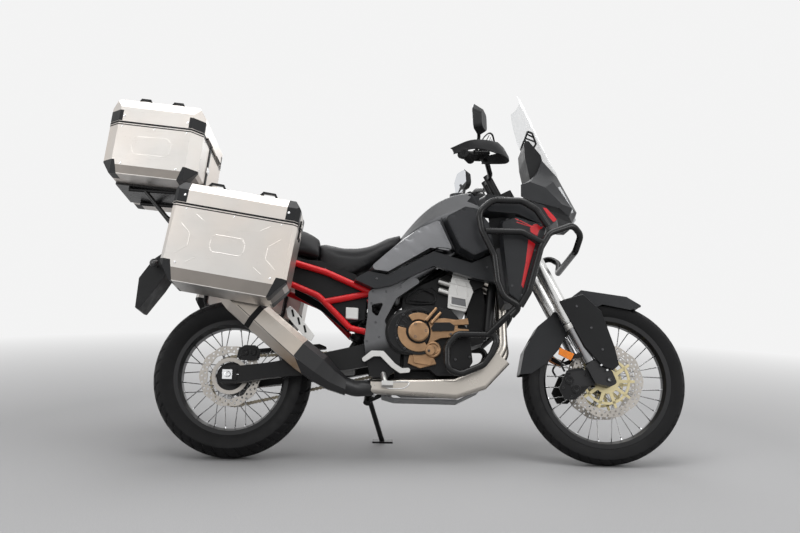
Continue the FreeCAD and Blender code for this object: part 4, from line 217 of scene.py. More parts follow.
def flank_band(tree, place, low, high, soft=0.0004):
    """One where the distance from the machine's middle plane lies between two values in metres."""
    out = tree.maths("ABSOLUTE", tree.node("SeparateXYZ", {0: place}).outputs[1])
    return tree.times(tree.spread(out, low - soft, low + soft), tree.spread(out, high + soft, high - soft))


def frame_finish():
    """Black paint, with the pivot plates and upper spars in bare satin grey casting."""
    tree = finish("frame_black", BLACK, 0.38, mottle=0.2, wear=0.3, specular=0.25)
    place = tree.coordinates(UPRIGHT)
    upper = beyond(tree, place, (640, 470), (-0.30, 0.954), 22)
    plates = tree.times(flank_band(tree, place, 0.150, 0.200), upper)
    cast = tree.clouds(34.0, 5.0, place, (0.122, 0.123, 0.127, 1), (0.138, 0.139, 0.144, 1))
    tree.paint(tree.mix(plates, tree.tint, cast), tree.times(plates, 0.7))
    return tree


def fork_finish():
    """Pale anodised tubes above darker sliders and black axle castings."""
    tree = finish("fork_tube", (0.74, 0.74, 0.73), 0.24, metal=0.9, mottle=0.03, edge=0)
    place = tree.coordinates(UPRIGHT)
    slider, cast = [beyond(tree, place, point, (0.46175, -0.88701))
                    for point in ((1422.8, 574.4), (1530, 440))]
    tint = tree.mix(slider, tree.tint, (0.36, 0.36, 0.37, 1))
    tree.paint(tree.mix(cast, tint, SOOT), tree.spread(cast, 0.0, 1.0, 0.9, 0.2),
               tree.spread(cast, 0.0, 1.0, 0.24, 0.42))
    return tree


def lamp_finish():
    """A red lens between two dark stalks."""
    tree = finish("rear_lamp", (0.42, 0.008, 0.010), 0.12, mottle=0.1, mottle_scale=40, coat=0.6, edge=0.0006)
    stalk = flank_band(tree, tree.coordinates(UPRIGHT), 0.062, 0.5)
    tree.paint(tree.mix(stalk, tree.tint, (0.008, 0.008, 0.009, 1)), None,
               tree.spread(stalk, 0.0, 1.0, 0.12, 0.45))
    return tree


def silencer_finish():
    """Brushed steel tinted by heat towards its joint, and a black shell and pipe from there on."""
    tree = finish("silencer", (0.50, 0.46, 0.415), 0.3, metal=1.0, brush=(220, 220, 12),
                  brush_strength=0.03, edge=0, matrix=UPRIGHT @ Matrix.Rotation(radians(50.5), 4, "Y"))
    place = tree.coordinates(UPRIGHT)
    joint = (275, 403)
    dark = tree.times(beyond(tree, place, joint, (0.80, -0.60)), beyond(tree, place, joint, (0.915, 0.403)))
    below = beyond(tree, place, (164, 493), (-0.653, -0.757), 1.5)
    near = beyond(tree, place, (205, 400), (0.7716, -0.6361), 75)
    heat = tree.times(tree.times(below, near), tree.spread(tree.noise(14.0, 4.0, place), 0.3, 0.7, 0.55, 1.0))
    tint = tree.mix(tree.times(heat, 0.85), tree.tint, (0.26, 0.15, 0.06, 1))
    faint = tree.times(tree.maths("SUBTRACT", 1.0, below), tree.times(near, 0.22))
    tint = tree.mix(faint, tint, (0.42, 0.30, 0.18, 1))
    tree.paint(tree.mix(dark, tint, SOOT), tree.maths("SUBTRACT", 1.0, dark),
               tree.spread(dark, 0.0, 1.0, 0.3, 0.4))
    return tree


def case_finish():
    """Brushed aluminium with warm and cool clouds across each face."""
    tree = finish("case_aluminium", (0.60, 0.58, 0.555), 0.34, metal=0.85, brush=(14, 500, 500),
                  brush_strength=0.02, mottle=0.05)
    warmth = tree.times(tree.spread(tree.noise(3.2, 2.0), 0.36, 0.66), 0.7)
    tree.paint(tree.mix(warmth, tree.tint, (0.70, 0.62, 0.55, 1)))
    return tree


def rim_finish(name, centre, hub, rim):
    """Rings of different finish about an axle: a black hub, bright spokes and a black rim."""
    tree = finish(name, BLACK, 0.3)
    away = tree.vector("SUBTRACT", tree.coordinates(), centre)
    lateral, total = tree.vector("DOT_PRODUCT", away, LATERAL), tree.vector("LENGTH", away)
    reach = tree.maths("SQRT", tree.maths("SUBTRACT", tree.times(total, total), tree.times(lateral, lateral)))
    colour, metal, rough = SOOT, 0.2, 0.35
    for edge, ring_colour, ring_metal, ring_rough in ((hub, (0.62, 0.62, 0.62, 1), 0.95, 0.25),
                                                      (rim, SOOT, 0.3, 0.28)):
        past = tree.maths("GREATER_THAN", reach, edge)
        colour = tree.mix(past, colour, ring_colour)
        metal = tree.spread(past, 0.0, 1.0, metal, ring_metal)
        rough = tree.spread(past, 0.0, 1.0, rough, ring_rough)
    tree.paint(colour, metal, rough)
    return tree


def clear(name, colour, rough=0.04, alpha=0.35):
    """A glassy surface: clear pane, lamp glass or orange lens."""
    tree = Tree(name)
    tree.paint(tree.clouds(4.0, 3.0, None, shade(colour, 0.97), shade(colour, 1.03)), None,
               tree.spread(tree.noise(12.0), 0.3, 0.7, rough * 0.8, rough * 1.3))
    for key, value in (("IOR", 1.45), ("Alpha", alpha), ("Specular IOR Level", 0.5)):
        tree.shader.inputs[key].default_value = value
    return tree


BLACK = (0.006, 0.006, 0.0065)
SOOT = (0.010, 0.010, 0.011, 1)

plastic = finish("black_plastic", (0.0075, 0.0078, 0.0085), 0.44, grain=0.16, grain_scale=1400, mottle=0.15,
                 specular=0.22)
matte = finish("matte_paint", (0.017, 0.018, 0.020), 0.34, grain=0.03, coat=0.03, mottle=0.06, specular=0.3)
satin_dark = finish("dark_satin_paint", (0.040, 0.041, 0.044), 0.34, metal=0.5, mottle=0.06, coat=0.04,
                    specular=0.3)
blade = finish("silver_grey_paint", (0.21, 0.212, 0.22), 0.36, metal=0.85, mottle=0.02, coat=0.04, edge=0)
shroud_dark = finish("shroud_paint", (0.026, 0.027, 0.029), 0.36, metal=0.3, mottle=0.06, grain=0.03,
                     coat=0.03, specular=0.3)
frame_paint = finish("stand_black", BLACK, 0.38, mottle=0.2, wear=0.3, specular=0.25)
main_frame_paint = frame_finish()
tube_paint = finish("crash_bar_black", (0.007, 0.007, 0.0075), 0.26, mottle=0.2, grain=0.05, grain_scale=600,
                    coat=0.05, specular=0.3)
red_paint = finish("red_frame_paint", (0.60, 0.006, 0.010), 0.34, mottle=0.08, coat=0.08, specular=0.3)
cast_grey = finish("cast_grey", (0.16, 0.162, 0.168), 0.42, metal=0.75, grain=0.2, grain_scale=1500, wear=0.3)
cast_silver = finish("cast_silver", (0.60, 0.595, 0.58), 0.34, metal=0.9, grain=0.12, grain_scale=1300,
                     mottle=0.08)
engine_black = finish("engine_black", (0.011, 0.011, 0.0115), 0.38, metal=0.2, grain=0.2, grain_scale=1200,
                      wear=0.25, specular=0.25)
bronze = finish("bronze_cover", (0.34, 0.205, 0.112), 0.36, metal=0.8, grain=0.12, grain_scale=1800,
                mottle=0.16, mottle_scale=26, wear=0.5, wear_colour=(0.6, 0.5, 0.38, 1))
steel = finish("bright_steel", (0.78, 0.79, 0.80), 0.22, metal=1.0, mottle=0.04, edge=0.0004)
stainless = finish("stainless", (0.52, 0.485, 0.44), 0.3, metal=1.0, mottle=0.05, mottle_scale=5, edge=0)
disc_steel = finish("disc_steel", (0.42, 0.395, 0.365), 0.30, metal=1.0, mottle=0.12, edge=0.0004)
dark_steel = finish("dark_screws", (0.10, 0.10, 0.105), 0.35, metal=0.9, mottle=0.15)
chain_steel = finish("chain_steel", (0.33, 0.29, 0.22), 0.38, metal=0.9, mottle=0.3, mottle_scale=80)
gold_metal = finish("gold_carrier", (0.62, 0.54, 0.32), 0.3, metal=0.85, mottle=0.08)
case_metal = case_finish()
# Darker aluminium for the band along the bottom of each case: painted shade for its shadowed underside
case_shade = finish("case_shade_band", (0.20, 0.182, 0.165), 0.42, metal=0.75, mottle=0.08, edge=0)
rubber = finish("rubber", (0.0065, 0.0065, 0.007), 0.52, grain=0.2, grain_scale=700, mottle=0.25,
                specular=0.18)
seat_skin = finish("seat_skin", (0.012, 0.012, 0.013), 0.48, grain=0.6, grain_scale=520, mottle=0.2,
                   specular=0.3)
seat_thread = finish("seat_piping", (0.05, 0.05, 0.052), 0.6, grain=0.3, grain_scale=900)
radiator_core = finish("radiator_core", (0.05, 0.05, 0.052), 0.5, metal=0.6, brush=(1200, 40, 1200),
                       brush_strength=0.6)
trim = finish("trim_black", (0.010, 0.0105, 0.0115), 0.40, grain=0.12, grain_scale=1500, mottle=0.15,
              specular=0.25)
relay_white = finish("relay_white", (0.70, 0.70, 0.68), 0.4, mottle=0.04)
white_decal = finish("white_decal", (0.62, 0.62, 0.63), 0.35, mottle=0.04)
red_decal = finish("red_decal", (0.66, 0.012, 0.02), 0.34, mottle=0.04, coat=0.3)
mirror_glass = finish("mirror_glass", (0.72, 0.74, 0.77), 0.04, metal=1.0, mottle=0.02)
screen_clear = clear("clear_screen", (0.80, 0.83, 0.85), alpha=0.22)
lens_clear = clear("lamp_lens", (0.86, 0.88, 0.90), alpha=0.75)
lens_orange = clear("orange_lens", (0.9, 0.25, 0.02), 0.15, alpha=0.95)

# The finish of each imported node, and the finish and slot of what is added
NODE_FINISHES = (
    (main_frame_paint, "main_frame"), (red_paint, "subframe"), (bronze, "engine_covers"),
    (engine_black, "engine swingarm rear_caliper fork_clamps front_calipers"),
    (cast_silver, "cylinder_block foot_controls"), (stainless, "exhaust_headers"),
    (silencer_finish(), "muffler"), (radiator_core, "radiators"), (chain_steel, "drive_chain"),
    (frame_paint, "shock_absorber stand_bracket side_stand"), (cast_grey, "skid_plate"),
    (satin_dark, "fuel_tank"), (blade, "side_panels"),
    (plastic, "chain_guard instrument_panel tail_panel plate_holder fork_guards hand_guards mirrors"),
    (matte, "tank_covers radiator_shrouds"), (shroud_dark, "nose_cowl front_fender"),
    (screen_clear, "windscreen"), (lens_clear, "headlights"), (seat_skin, "rider_seat pillion_seat"),
    (tube_paint, "luggage_rack pannier_racks crash_bars_right crash_bars_left handlebar"),
    (case_metal, "top_case top_case_lid pannier_right pannier_right_lid pannier_left pannier_left_lid"),
    (fork_finish(), "fork_legs"), (rubber, "hand_controls front_tyre rear_tyre"),
    (disc_steel, "front_discs rear_disc"), (gold_metal, "front_disc_carriers"), (steel, "rear_sprocket"),
    (lamp_finish(), "rear_lights"), (rim_finish("front_rim", FRONT_AXLE, 0.0475, 0.236), "front_wheel_rim"),
    (rim_finish("rear_rim", REAR_AXLE, 0.067, 0.198), "rear_wheel_rim"))
TRIM, RUBBER_TRIM, PLASTIC_TRIM = (trim, "trim_black"), (rubber, "trim_black"), (plastic, "trim_black")
PLASTIC_CAST, CAST_BLACK = (plastic, "cast_black"), (engine_black, "cast_black")
ENGINE_CAST = (engine_black, "engine_black")
CASE_STEEL, CASE_METAL = (steel, "box_aluminium"), (case_metal, "box_aluminium")
# The band of painted shade along the bottom of each case
CASE_SHADE_BAND = (case_shade, "box_aluminium")
FORK_STEEL, FORK_SILVER = (steel, "fork_silver"), (cast_silver, "fork_silver")
BRIGHT_LOOP, DARK_FOLD = (steel, "exhaust_steel"), (dark_steel, "exhaust_steel")
BLADE, COVER, WING = (blade, "body_silver"), (satin_dark, "body_dark"), (shroud_dark, "body_dark")


def paint_nodes():
    for paint, names in NODE_FINISHES:
        for name in names.split():
            NODES[name].data.materials.clear()
            NODES[name].data.materials.append(paint.material)


# Shapes, from points in millimetres of a local frame
class Shape:
    """A growing mesh; its points are given in millimetres of a local frame."""

    def __init__(self, matrix=UPRIGHT):
        self.mesh = bmesh.new()
        self.matrix = matrix

    def vertex(self, point):
        return self.mesh.verts.new(self.matrix @ (Vector(point) * 0.001))

    def rings(self, loops, wrap=False):
        """Skin over equal rings of points, capped unless the last ring joins the first."""
        rows = [[self.vertex(p) for p in loop] for loop in loops]
        count = len(rows[0])
        for one, two in zip(rows, rows[1:] + rows[:1] if wrap else rows[1:]):
            for i in range(count):
                j = (i + 1) % count
                self.mesh.faces.new((one[i], one[j], two[j], two[i]))
        if not wrap:
            self.mesh.faces.new(rows[0][::-1])
            self.mesh.faces.new(rows[-1])

    def prism(self, outline, near, far):
        """An outline seen from the side, given thickness."""
        self.rings([[(x, depth, z) for x, z in outline] for depth in (near, far)])

    def block(self, a, b):
        """A box between two opposite corners."""
        self.prism([(a[0], a[2]), (b[0], a[2]), (b[0], b[2]), (a[0], b[2])], a[1], b[1])

    def tube(self, path, radius, sides=10, closed=False, rounds=6, flat=1.0):
        """A bar along a smooth line through the points; its radius may differ from point to point."""
        points, radii = smooth_line(path, radius, closed, rounds)
        self.rings(sweep(points, radii, sides, closed, flat), closed)

    def rods(self, ends, y, radius, sides=6):
        """Straight bars between pairs of points seen from the side."""
        for a, b in ends:
            self.tube([(a[0], y, a[1]), (b[0], y, b[1])], radius, sides, rounds=1)

    def lathe(self, centre, axis, profile, sides=24):
        """Rings turned about a line: pairs of distance along it and radius."""
        axis = Vector(axis).normalized()
        side = axis.orthogonal().normalized()
        other = axis.cross(side)
        turns = [2 * pi * i / sides for i in range(sides)]
        self.rings([[Vector(centre) + axis * out + (side * cos(t) + other * sin(t)) * radius for t in turns]
                    for out, radius in profile])

    def bolt(self, place, axis, radius, height, sides=6):
        """A screw head with a sunk socket."""
        self.lathe(place, axis, [(-1, radius), (height * 0.75, radius), (height, radius * 0.8),
                                 (height, radius * 0.48), (height * 0.35, radius * 0.44)], sides)

    def sector(self, centre, inner, outer, start, end, near, far, steps=14):
        """A flat sector of a ring, seen from the side."""
        turns = [radians(start + (end - start) * i / steps) for i in range(steps + 1)]
        outline = [(centre[0] + cos(t) * outer, centre[1] + sin(t) * outer) for t in turns]
        outline += [(centre[0] + cos(t) * inner, centre[1] + sin(t) * inner) for t in reversed(turns)]
        self.prism(outline, near, far)

    def done(self, name, look, body="chassis", bevel=0.0, sharp=35, replaces=(), closed=True):
        """The finished piece, riding on its body; its look is a finish and a slot, and the slot is not used.
        """
        if closed:
            bmesh.ops.recalc_face_normals(self.mesh, faces=self.mesh.faces)
        for face in self.mesh.faces:
            face.smooth = True
        for edge in self.mesh.edges:
            edge.smooth = len(edge.link_faces) == 2 and edge.calc_face_angle(0) < radians(sharp)
        data = bpy.data.meshes.new(name)
        self.mesh.to_mesh(data)
        self.mesh.free()
        data.materials.append(look[0].material)
        made = bpy.data.objects.new(name, data)
        bpy.context.scene.collection.objects.link(made)
        round_edges(made, bevel)
        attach(made, body)
        for node in replaces:
            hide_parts(node)
        return made


def round_edges(piece, width):
    if width:
        rounding = piece.modifiers.new("rounding", "BEVEL")
        rounding.width, rounding.segments, rounding.limit_method = width * 0.001, 2, "ANGLE"
        rounding.angle_limit = radians(30)


def plate(name, look, outline, near, far, bevel=0.0, body="chassis"):
    """A piece that is one flat outline given thickness."""
    shape = Shape()
    shape.prism(outline, near, far)
    shape.done(name, look, body, bevel)


def smooth_line(path, radius, closed, rounds):
    """Points on a smooth line through a path, with a radius for each."""
    path = [Vector(p) for p in path]
    sizes = list(radius) if isinstance(radius, (list, tuple)) else [radius] * len(path)
    points, radii = [], []
    count = len(path)
    for i in range(count if closed else count - 1):
        if closed:
            a, b, c, d = (path[(i + k) % count] for k in (-1, 0, 1, 2))
        else:
            b, c = path[i], path[i + 1]
            a = path[i - 1] if i else b * 2 - c
            d = path[i + 2] if i + 2 < count else c * 2 - b
        for k in range(rounds):
            t = k / rounds
            points.append(0.5 * (2 * b + (c - a) * t + (2 * a - 5 * b + 4 * c - d) * t * t
                                 + (3 * b - a - 3 * c + d) * t ** 3))
            radii.append(sizes[i] + (sizes[(i + 1) % count] - sizes[i]) * t)
    if not closed:
        points.append(path[-1])
        radii.append(sizes[-1])
    return points, radii


def sweep(points, radii, sides, closed, flat):
    """Rings of a bar along points, turned as little as possible from one to the next."""
    count = len(points)
    loops, side = [], None
    for i, point in enumerate(points):
        before = points[i - 1] if i or closed else point
        after = points[(i + 1) % count] if i + 1 < count or closed else point
        ahead = (after - before).normalized()
        side = ahead.orthogonal() if side is None else side - ahead * side.dot(ahead)
        side.normalize()
        other = ahead.cross(side)
        turns = [2 * pi * (k + 0.5) / sides for k in range(sides)]
        loops.append([point + (side * cos(t) + other * sin(t) * flat) * radii[i] for t in turns])
    return loops


def surface_of(*names):
    """The shells of some nodes or added pieces, to be searched for the nearest hit."""
    shells = bmesh.new()
    for name in names:
        shells.from_mesh((NODES.get(name) or bpy.data.objects[name]).data)
    tree = BVHTree.FromBMesh(shells)
    shells.free()
    return tree


def spot(x, y, z):
    """A point of the upright machine, in millimetres, placed in the row's frame in metres."""
    return UPRIGHT @ (Vector((x, y, z)) * 0.001)


def hit_from(tree, side, x, z):
    """Where a line from one side first meets a surface, and the surface's direction there."""
    place, normal, *_ = tree.ray_cast(spot(x, side * 700, z), LATERAL * -side)
    return place, normal


def inside(point, outline):
    """Whether a flat point lies within an outline."""
    found = False
    for (x0, y0), (x1, y1) in zip(outline, outline[1:] + outline[:1]):
        if (y0 > point[1]) != (y1 > point[1]) and point[0] < (x1 - x0) * (point[1] - y0) / (y1 - y0) + x0:
            found = not found
    return found


def edge_reach(point, border):
    """How far a flat point lies from the nearest stretch of a border."""
    reach = 1e9
    for a, b in zip(border, border[1:] + border[:1]):
        share = max(0.0, min(1.0, (point - a).dot(b - a) / (b - a).length_squared))
        reach = min(reach, (point - a - (b - a) * share).length)
    return reach


SKIN_SINK, SMOOTHINGS = 1.2, 14


def drape(name, look, surface, outlines, side, proud, step, jump=14.0, crown=0.0, crown_width=40.0):
    """Thin skins laid on an outer surface: outlines are seen from the side, in millimetres."""
    shell = Shape()
    out = LATERAL * side
    for outline in outlines:
        border = []
        for (x0, z0), (x1, z1) in zip(outline, outline[1:] + outline[:1]):
            pieces = max(1, int(((x1 - x0) ** 2 + (z1 - z0) ** 2) ** 0.5 / step))
            border += [Vector((x0 + (x1 - x0) * k / pieces, z0 + (z1 - z0) * k / pieces))
                       for k in range(pieces)]
        points = list(border)
        x_low, x_high = min(p.x for p in border), max(p.x for p in border)
        z_low, z_high = min(p.y for p in border), max(p.y for p in border)
        for i in range(int((x_high - x_low) / step) + 1):
            for j in range(int((z_high - z_low) / step) + 1):
                point = Vector((x_low + (i + 0.5) * step, z_low + (j + 0.5) * step))
                if inside(point, outline) and min((point - b).length for b in border) > step * 0.45:
                    points.append(point)
        flat, _, faces, *_ = delaunay_2d_cdt(points, [], [list(range(len(border)))], 1, 1e-4)
        hits = [surface.ray_cast(spot(x, side * 900.0, z), -out) for x, z in flat]
        rises = [crown * sin(pi / 2 * min(1.0, edge_reach(Vector(p), border) / crown_width)) for p in flat]
        made = {}
        for face in faces:
            depths = [hits[i][3] for i in face]
            if None in depths or max(depths) - min(depths) > jump * 0.001:
                continue
            for i in face:
                if i not in made:
                    made[i] = shell.mesh.verts.new(hits[i][0] + out * (proud + rises[i]) * 0.001)
            if len(set(face)) == 3:
                shell.mesh.faces.new([made[i] for i in face])
    if crown:
        middle = [v for v in shell.mesh.verts if not v.is_boundary]
        for _ in range(SMOOTHINGS):
            bmesh.ops.smooth_vert(shell.mesh, verts=middle, factor=0.5, use_axis_x=True, use_axis_y=True,
                                  use_axis_z=True)
    border_edges = [edge for edge in shell.mesh.edges if len(edge.link_faces) == 1]
    skirt = bmesh.ops.extrude_edge_only(shell.mesh, edges=border_edges)
    fresh = [item for item in skirt["geom"] if isinstance(item, bmesh.types.BMVert)]
    bmesh.ops.translate(shell.mesh, verts=fresh, vec=-out * (proud + SKIN_SINK) * 0.001)
    shell.done(name, look, sharp=30)


def cut_skin(name, look, node, regions, centre, thickness, proud, bevel=0.0, body="chassis", matrix=UPRIGHT,
             facing=None):
    """Thin skins over parts of a node's outside.

    Each region is cut out by planes, given as a point and the side that goes."""
    whole = bmesh.new()
    whole.from_mesh(NODES[node].data)
    bmesh.ops.transform(whole, matrix=Matrix.Scale(1000, 4) @ matrix.inverted(), verts=whole.verts)
    bmesh.ops.remove_doubles(whole, verts=whole.verts, dist=0.02)
    if facing is None:
        gone_faces = [f for f in whole.faces if f.normal.dot(f.calc_center_median() - Vector(centre)) <= 0]
    else:
        gone_faces = [f for f in whole.faces if f.normal.dot(Vector(facing)) < 0.93 or f.calc_area() < 300]
    bmesh.ops.delete(whole, geom=gone_faces, context="FACES")
    shape = Shape(matrix)
    for planes in regions:
        part = whole.copy()
        for point, gone in planes:
            everything = part.verts[:] + part.edges[:] + part.faces[:]
            bmesh.ops.bisect_plane(part, geom=everything, plane_co=point, plane_no=gone, clear_outer=True)
        bmesh.ops.transform(part, matrix=matrix @ Matrix.Scale(0.001, 4), verts=part.verts)
        carried = bpy.data.meshes.new("carried")
        part.to_mesh(carried)
        part.free()
        shape.mesh.from_mesh(carried)
        bpy.data.meshes.remove(carried)
    whole.free()
    made = shape.done(name, look, body, sharp=30, closed=False)
    skin = made.modifiers.new("skin", "SOLIDIFY")
    skin.thickness, skin.offset, skin.use_even_offset = thickness * 0.001, 2 * proud / thickness - 1, True
    round_edges(made, bevel)


# Luggage: each case's middle and pitch, the lowest corner and the size of its level box in its own
# frame, its lid's height and the way that its latch faces
CASES = {
    "pannier_right": ((21.4, 0.0, 774.7), 8.9, (-226.6, -492.0, 617.7), (496.0, 207.0, 314.0), 86.0, 1),
    "pannier_left": ((21.4, 0.0, 774.7), 8.9, (-226.6, 285.0, 617.7), (496.0, 207.0, 314.0), 86.0, 1),
    "top_case": ((-356.5, 0.0, 1248.0), 5.5, (-556.5, -270.0, 1132.0), (400.0, 540.0, 232.0), 104.0, -1),
}
LATCH_HALF, LATCH_EDGE, LATCH_DEPTH = 18.5, 25.0, 5.5
# Sides of a round screw head
ROUND = 14


def slab(bottom, ceiling):
    """Planes that leave what lies between two heights."""
    return [((0, 0, bottom), (0, 0, -1)), ((0, 0, ceiling), (0, 0, 1))]


def case_details(name):
    """Corner guards, gasket, a darker band of painted shade along the bottom, loops, screws, rivets, creases
    and latch frames of one case.
    """
    centre, pitch, low, size, lid_height, latch_way = CASES[name]
    middle = Vector(centre) * 0.001
    matrix = UPRIGHT @ Matrix.Translation(middle) @ Matrix.Rotation(radians(pitch), 4, "Y")
    matrix = matrix @ Matrix.Translation(-middle)
    low, size = Vector(low), Vector(size)
    high = low + size
    joint, top = high.z, high.z + lid_height
    lid = name + "_lid"
    is_pannier = name != "top_case"
    lid_body = lid if is_pannier else "top_lid"
    reach, cap_top = (52.0, top + 5) if is_pannier else (60.0, joint + 48)

    def edge(axis, way, inset=0.0):
        """Where a side of the box stands, or a place inside of it."""
        return (low[axis] if way < 0 else high[axis]) - way * inset

    def corners(reach, bottom, ceiling, slant=0.0):
        """Planes that leave each upright corner, its edges leaning together upwards by a slant."""
        return [[((edge(0, sx, reach), 0, bottom), (-sx, 0, slant)),
                 ((0, edge(1, sy, reach), bottom), (0, -sy, slant))] + slab(bottom, ceiling)
                for sx in (-1, 1) for sy in (-1, 1)]

    def skin(suffix, look, node, regions, lift, thickness, proud, bevel=0.0, body="chassis"):
        core = low + size / 2 + Vector((0, 0, lift))
        cut_skin(node + suffix, look, node, regions, core, thickness, proud, bevel, body, matrix)

    skin("_corners", TRIM, lid, corners(reach, joint + 1.2, cap_top), size.z / 2, 1.6, 0.8, 0.5, lid_body)
    skin("_corners", TRIM, name, corners(reach * 1.25, low.z - 5, low.z + size.z * 0.26, 0.28), 0, 1.6, 0.3,
         0.3)
    skin("_gasket", RUBBER_TRIM, name, [slab(joint - 8.5, joint - 1.2), slab(joint - 17, joint - 13)], 0,
         1.2, 0.9)
    # A darker band along the bottom of the walls: painted shade, standing for the shadow on the case's
    # underside
    skin("_band", CASE_SHADE_BAND, name, [slab(low.z + 3, low.z + size.z * 0.17)], 0, 0.5, 0.15)

    black, bright, rivets, press = Shape(matrix), Shape(matrix), Shape(matrix), Shape(matrix)
    if is_pannier:
        out = RIGHT if name == "pannier_right" else LEFT
        face_y = edge(1, out)
        pannier_press(press, low, size, face_y, out)
        for way in (-1, 1):
            bright.bolt((edge(0, way, 42), face_y + out * 1.2, joint + 30), (0, out, 0), 4.6, 2.2, ROUND)
            rivets.bolt((edge(0, way, 62), face_y + out * 1.2, low.z + size.z * 0.235), (0, out, 0), 4.0,
                        2.0, ROUND)
        for share in (0.30, 0.72):
            foot = Vector((low.x + size.x * share, face_y - out * 46, top))
            tie_loop(black, foot, 50)
            for way in (-1, 1):
                bright.bolt(foot + Vector((way * 43, 0, 2)), (0, 0, 1), 3.2, 2.0)
        for share in (0.12, 0.5, 0.88):
            rivets.bolt((low.x + size.x * share, face_y, joint - 24), (0, out, 0), 3.0, 1.6, ROUND)
    else:
        for sx in (-1, 1):
            for sy in (-1, 1):
                for k in range(3):
                    black.tube([(edge(0, sx, 112 + 14 * k), edge(1, sy, 52), top + 1.5),
                                (edge(0, sx, 104 + 14 * k), edge(1, sy, 96), top + 1.5)], 2.2, 6, rounds=1)
                bright.bolt((edge(0, sx, 66), edge(1, sy, -0.4), joint + 24), (0, sy, 0), 5.0, 1.6, ROUND)
                tie_loop(black, (edge(0, sx, 130), edge(1, sy, 58), top), 40)
                rivets.bolt((edge(0, sx, 84), edge(1, sy, -1.2), low.z + 46), (0, sy, 0), 4.0, 2.0, ROUND)
        for sy in (-1, 1):
            for share in (0.16, 0.5, 0.84):
                rivets.bolt((low.x + size.x * share, edge(1, sy), joint - 24), (0, sy, 0), 3.2, 1.6, ROUND)
                rivets.bolt((high.x, low.y + size.y * share, joint - 24), (1, 0, 0), 3.2, 1.6, ROUND)
            for height in (70, 120, 170):
                rivets.bolt((high.x, edge(1, sy, 56), low.z + height), (1, 0, 0), 3.0, 1.6, ROUND)
            field = [(0.34, 0.40), (0.66, 0.40), (0.70, 0.48), (0.70, 0.66), (0.66, 0.74), (0.34, 0.74),
                     (0.30, 0.66), (0.30, 0.48)]
            press_loop(press, [(low.x + size.x * a, edge(1, sy), low.z + size.z * b) for a, b in field],
                       0.4, sy)
        strap, buckle = Shape(matrix), Shape(matrix)
        strap.block((high.x + 0.2, -72, low.z + 20), (high.x + 3.4, -44, high.z - 10))
        strap.done(name + "_strap", RUBBER_TRIM, bevel=0.6)
        buckle.block((high.x + 2, -78, low.z + size.z * 0.45), (high.x + 7, -38, low.z + size.z * 0.56))
        buckle.block((high.x + 6, -70, low.z + size.z * 0.475), (high.x + 9, -46, low.z + size.z * 0.535))
        buckle.done(name + "_buckle", CASE_STEEL, bevel=0.8)
    rivets.done(name + "_rivets", CASE_STEEL)
    press.done(name + "_press", CASE_METAL, sharp=20)
    latch_x = edge(0, latch_way)
    for part, body, start, end in ((name, "chassis", joint - 50, joint - 2),
                                   (lid, lid_body, joint + 1.4, joint + 26)):
        shape = Shape(matrix)
        for way in (-1, 1):
            y = low.y + size.y / 2
            shape.block((latch_x, y + way * LATCH_HALF, start),
                        (latch_x + latch_way * LATCH_DEPTH, y + way * LATCH_EDGE, end))
        shape.done(part + "_latch_frame", TRIM, body, 0.8)
    black.done(lid + "_loops", TRIM, lid_body)
    bright.done(lid + "_screws", CASE_STEEL, lid_body)


def tie_loop(shape, foot, half):
    """A flat-footed loop for a strap, standing on a lid."""
    x, y, z = foot
    profile = [(-half, 0), (-half, 5), (-half * 0.74, 5), (-half * 0.5, 22), (half * 0.5, 22),
               (half * 0.74, 5), (half, 5), (half, 0), (half * 0.6, 0), (half * 0.4, 14.5),
               (-half * 0.4, 14.5), (-half * 0.6, 0)]
    shape.prism([(x + a, z + b) for a, b in profile], y - 7, y + 7)


RIDGE_HALF, RIDGE_SINK = 3.5, -0.6


def ridge(shape, a, b, height, out):
    """A low pressed crease between two points of a case's wall."""
    a, b, outward = Vector(a), Vector(b), Vector((0, out, 0))
    ends = (b - a).normalized() * RIDGE_HALF
    side = ends.cross(outward)
    rows = ((a, 1, RIDGE_SINK), (a + ends, 0.15, height), (b - ends, 0.15, height), (b, 1, RIDGE_SINK))
    made = [shape.vertex(place + side * wide * way + outward * lift) for place, wide, lift in rows
            for way in (1, -1)]
    for face in ((0, 1, 3, 2), (2, 3, 5, 4), (4, 5, 7, 6), (0, 2, 4, 6), (1, 7, 5, 3), (0, 6, 7, 1)):
        shape.mesh.faces.new([made[i] for i in face])


def press_loop(shape, places, height, out):
    for a, b in zip(places, places[1:] + places[:1]):
        ridge(shape, a, b, height, out)


def pannier_press(shape, low, size, face_y, out):
    """The pressed creases on a pannier's outer wall: a rounded field with four arms."""
    def place(share, up):
        return (low.x + size.x * share, face_y, low.z + size.z * up)

    field = [(0.36, 0.50), (0.385, 0.44), (0.605, 0.44), (0.63, 0.50), (0.63, 0.60), (0.605, 0.66),
             (0.385, 0.66), (0.36, 0.60)]
    press_loop(shape, [place(*p) for p in field], 0.55, out)
    for a, b in (((0.10, 0.34), (0.19, 0.46)), ((0.19, 0.46), (0.19, 0.62)), ((0.19, 0.62), (0.10, 0.74)),
                 ((0.72, 0.80), (0.80, 0.88)), ((0.72, 0.34), (0.80, 0.26))):
        ridge(shape, place(*a), place(*b), 0.5, out)
        ridge(shape, place(1 - a[0], a[1]), place(1 - b[0], b[1]), 0.5, out)


# Wheels, each in a frame whose middle is its axle
TREAD_COLUMNS, TREAD_DEPTH, WALL_ROWS = 46, 5.2, 12
SPOKES = 32
DISC_THICKNESS, DISC_WAVES, WAVE_DEPTH, HOLE_RADIUS = 5.0, 10, 5.0, 4.6


def wheel_frame(centre):
    there = UPRIGHT.copy()
    there.translation = centre
    return there


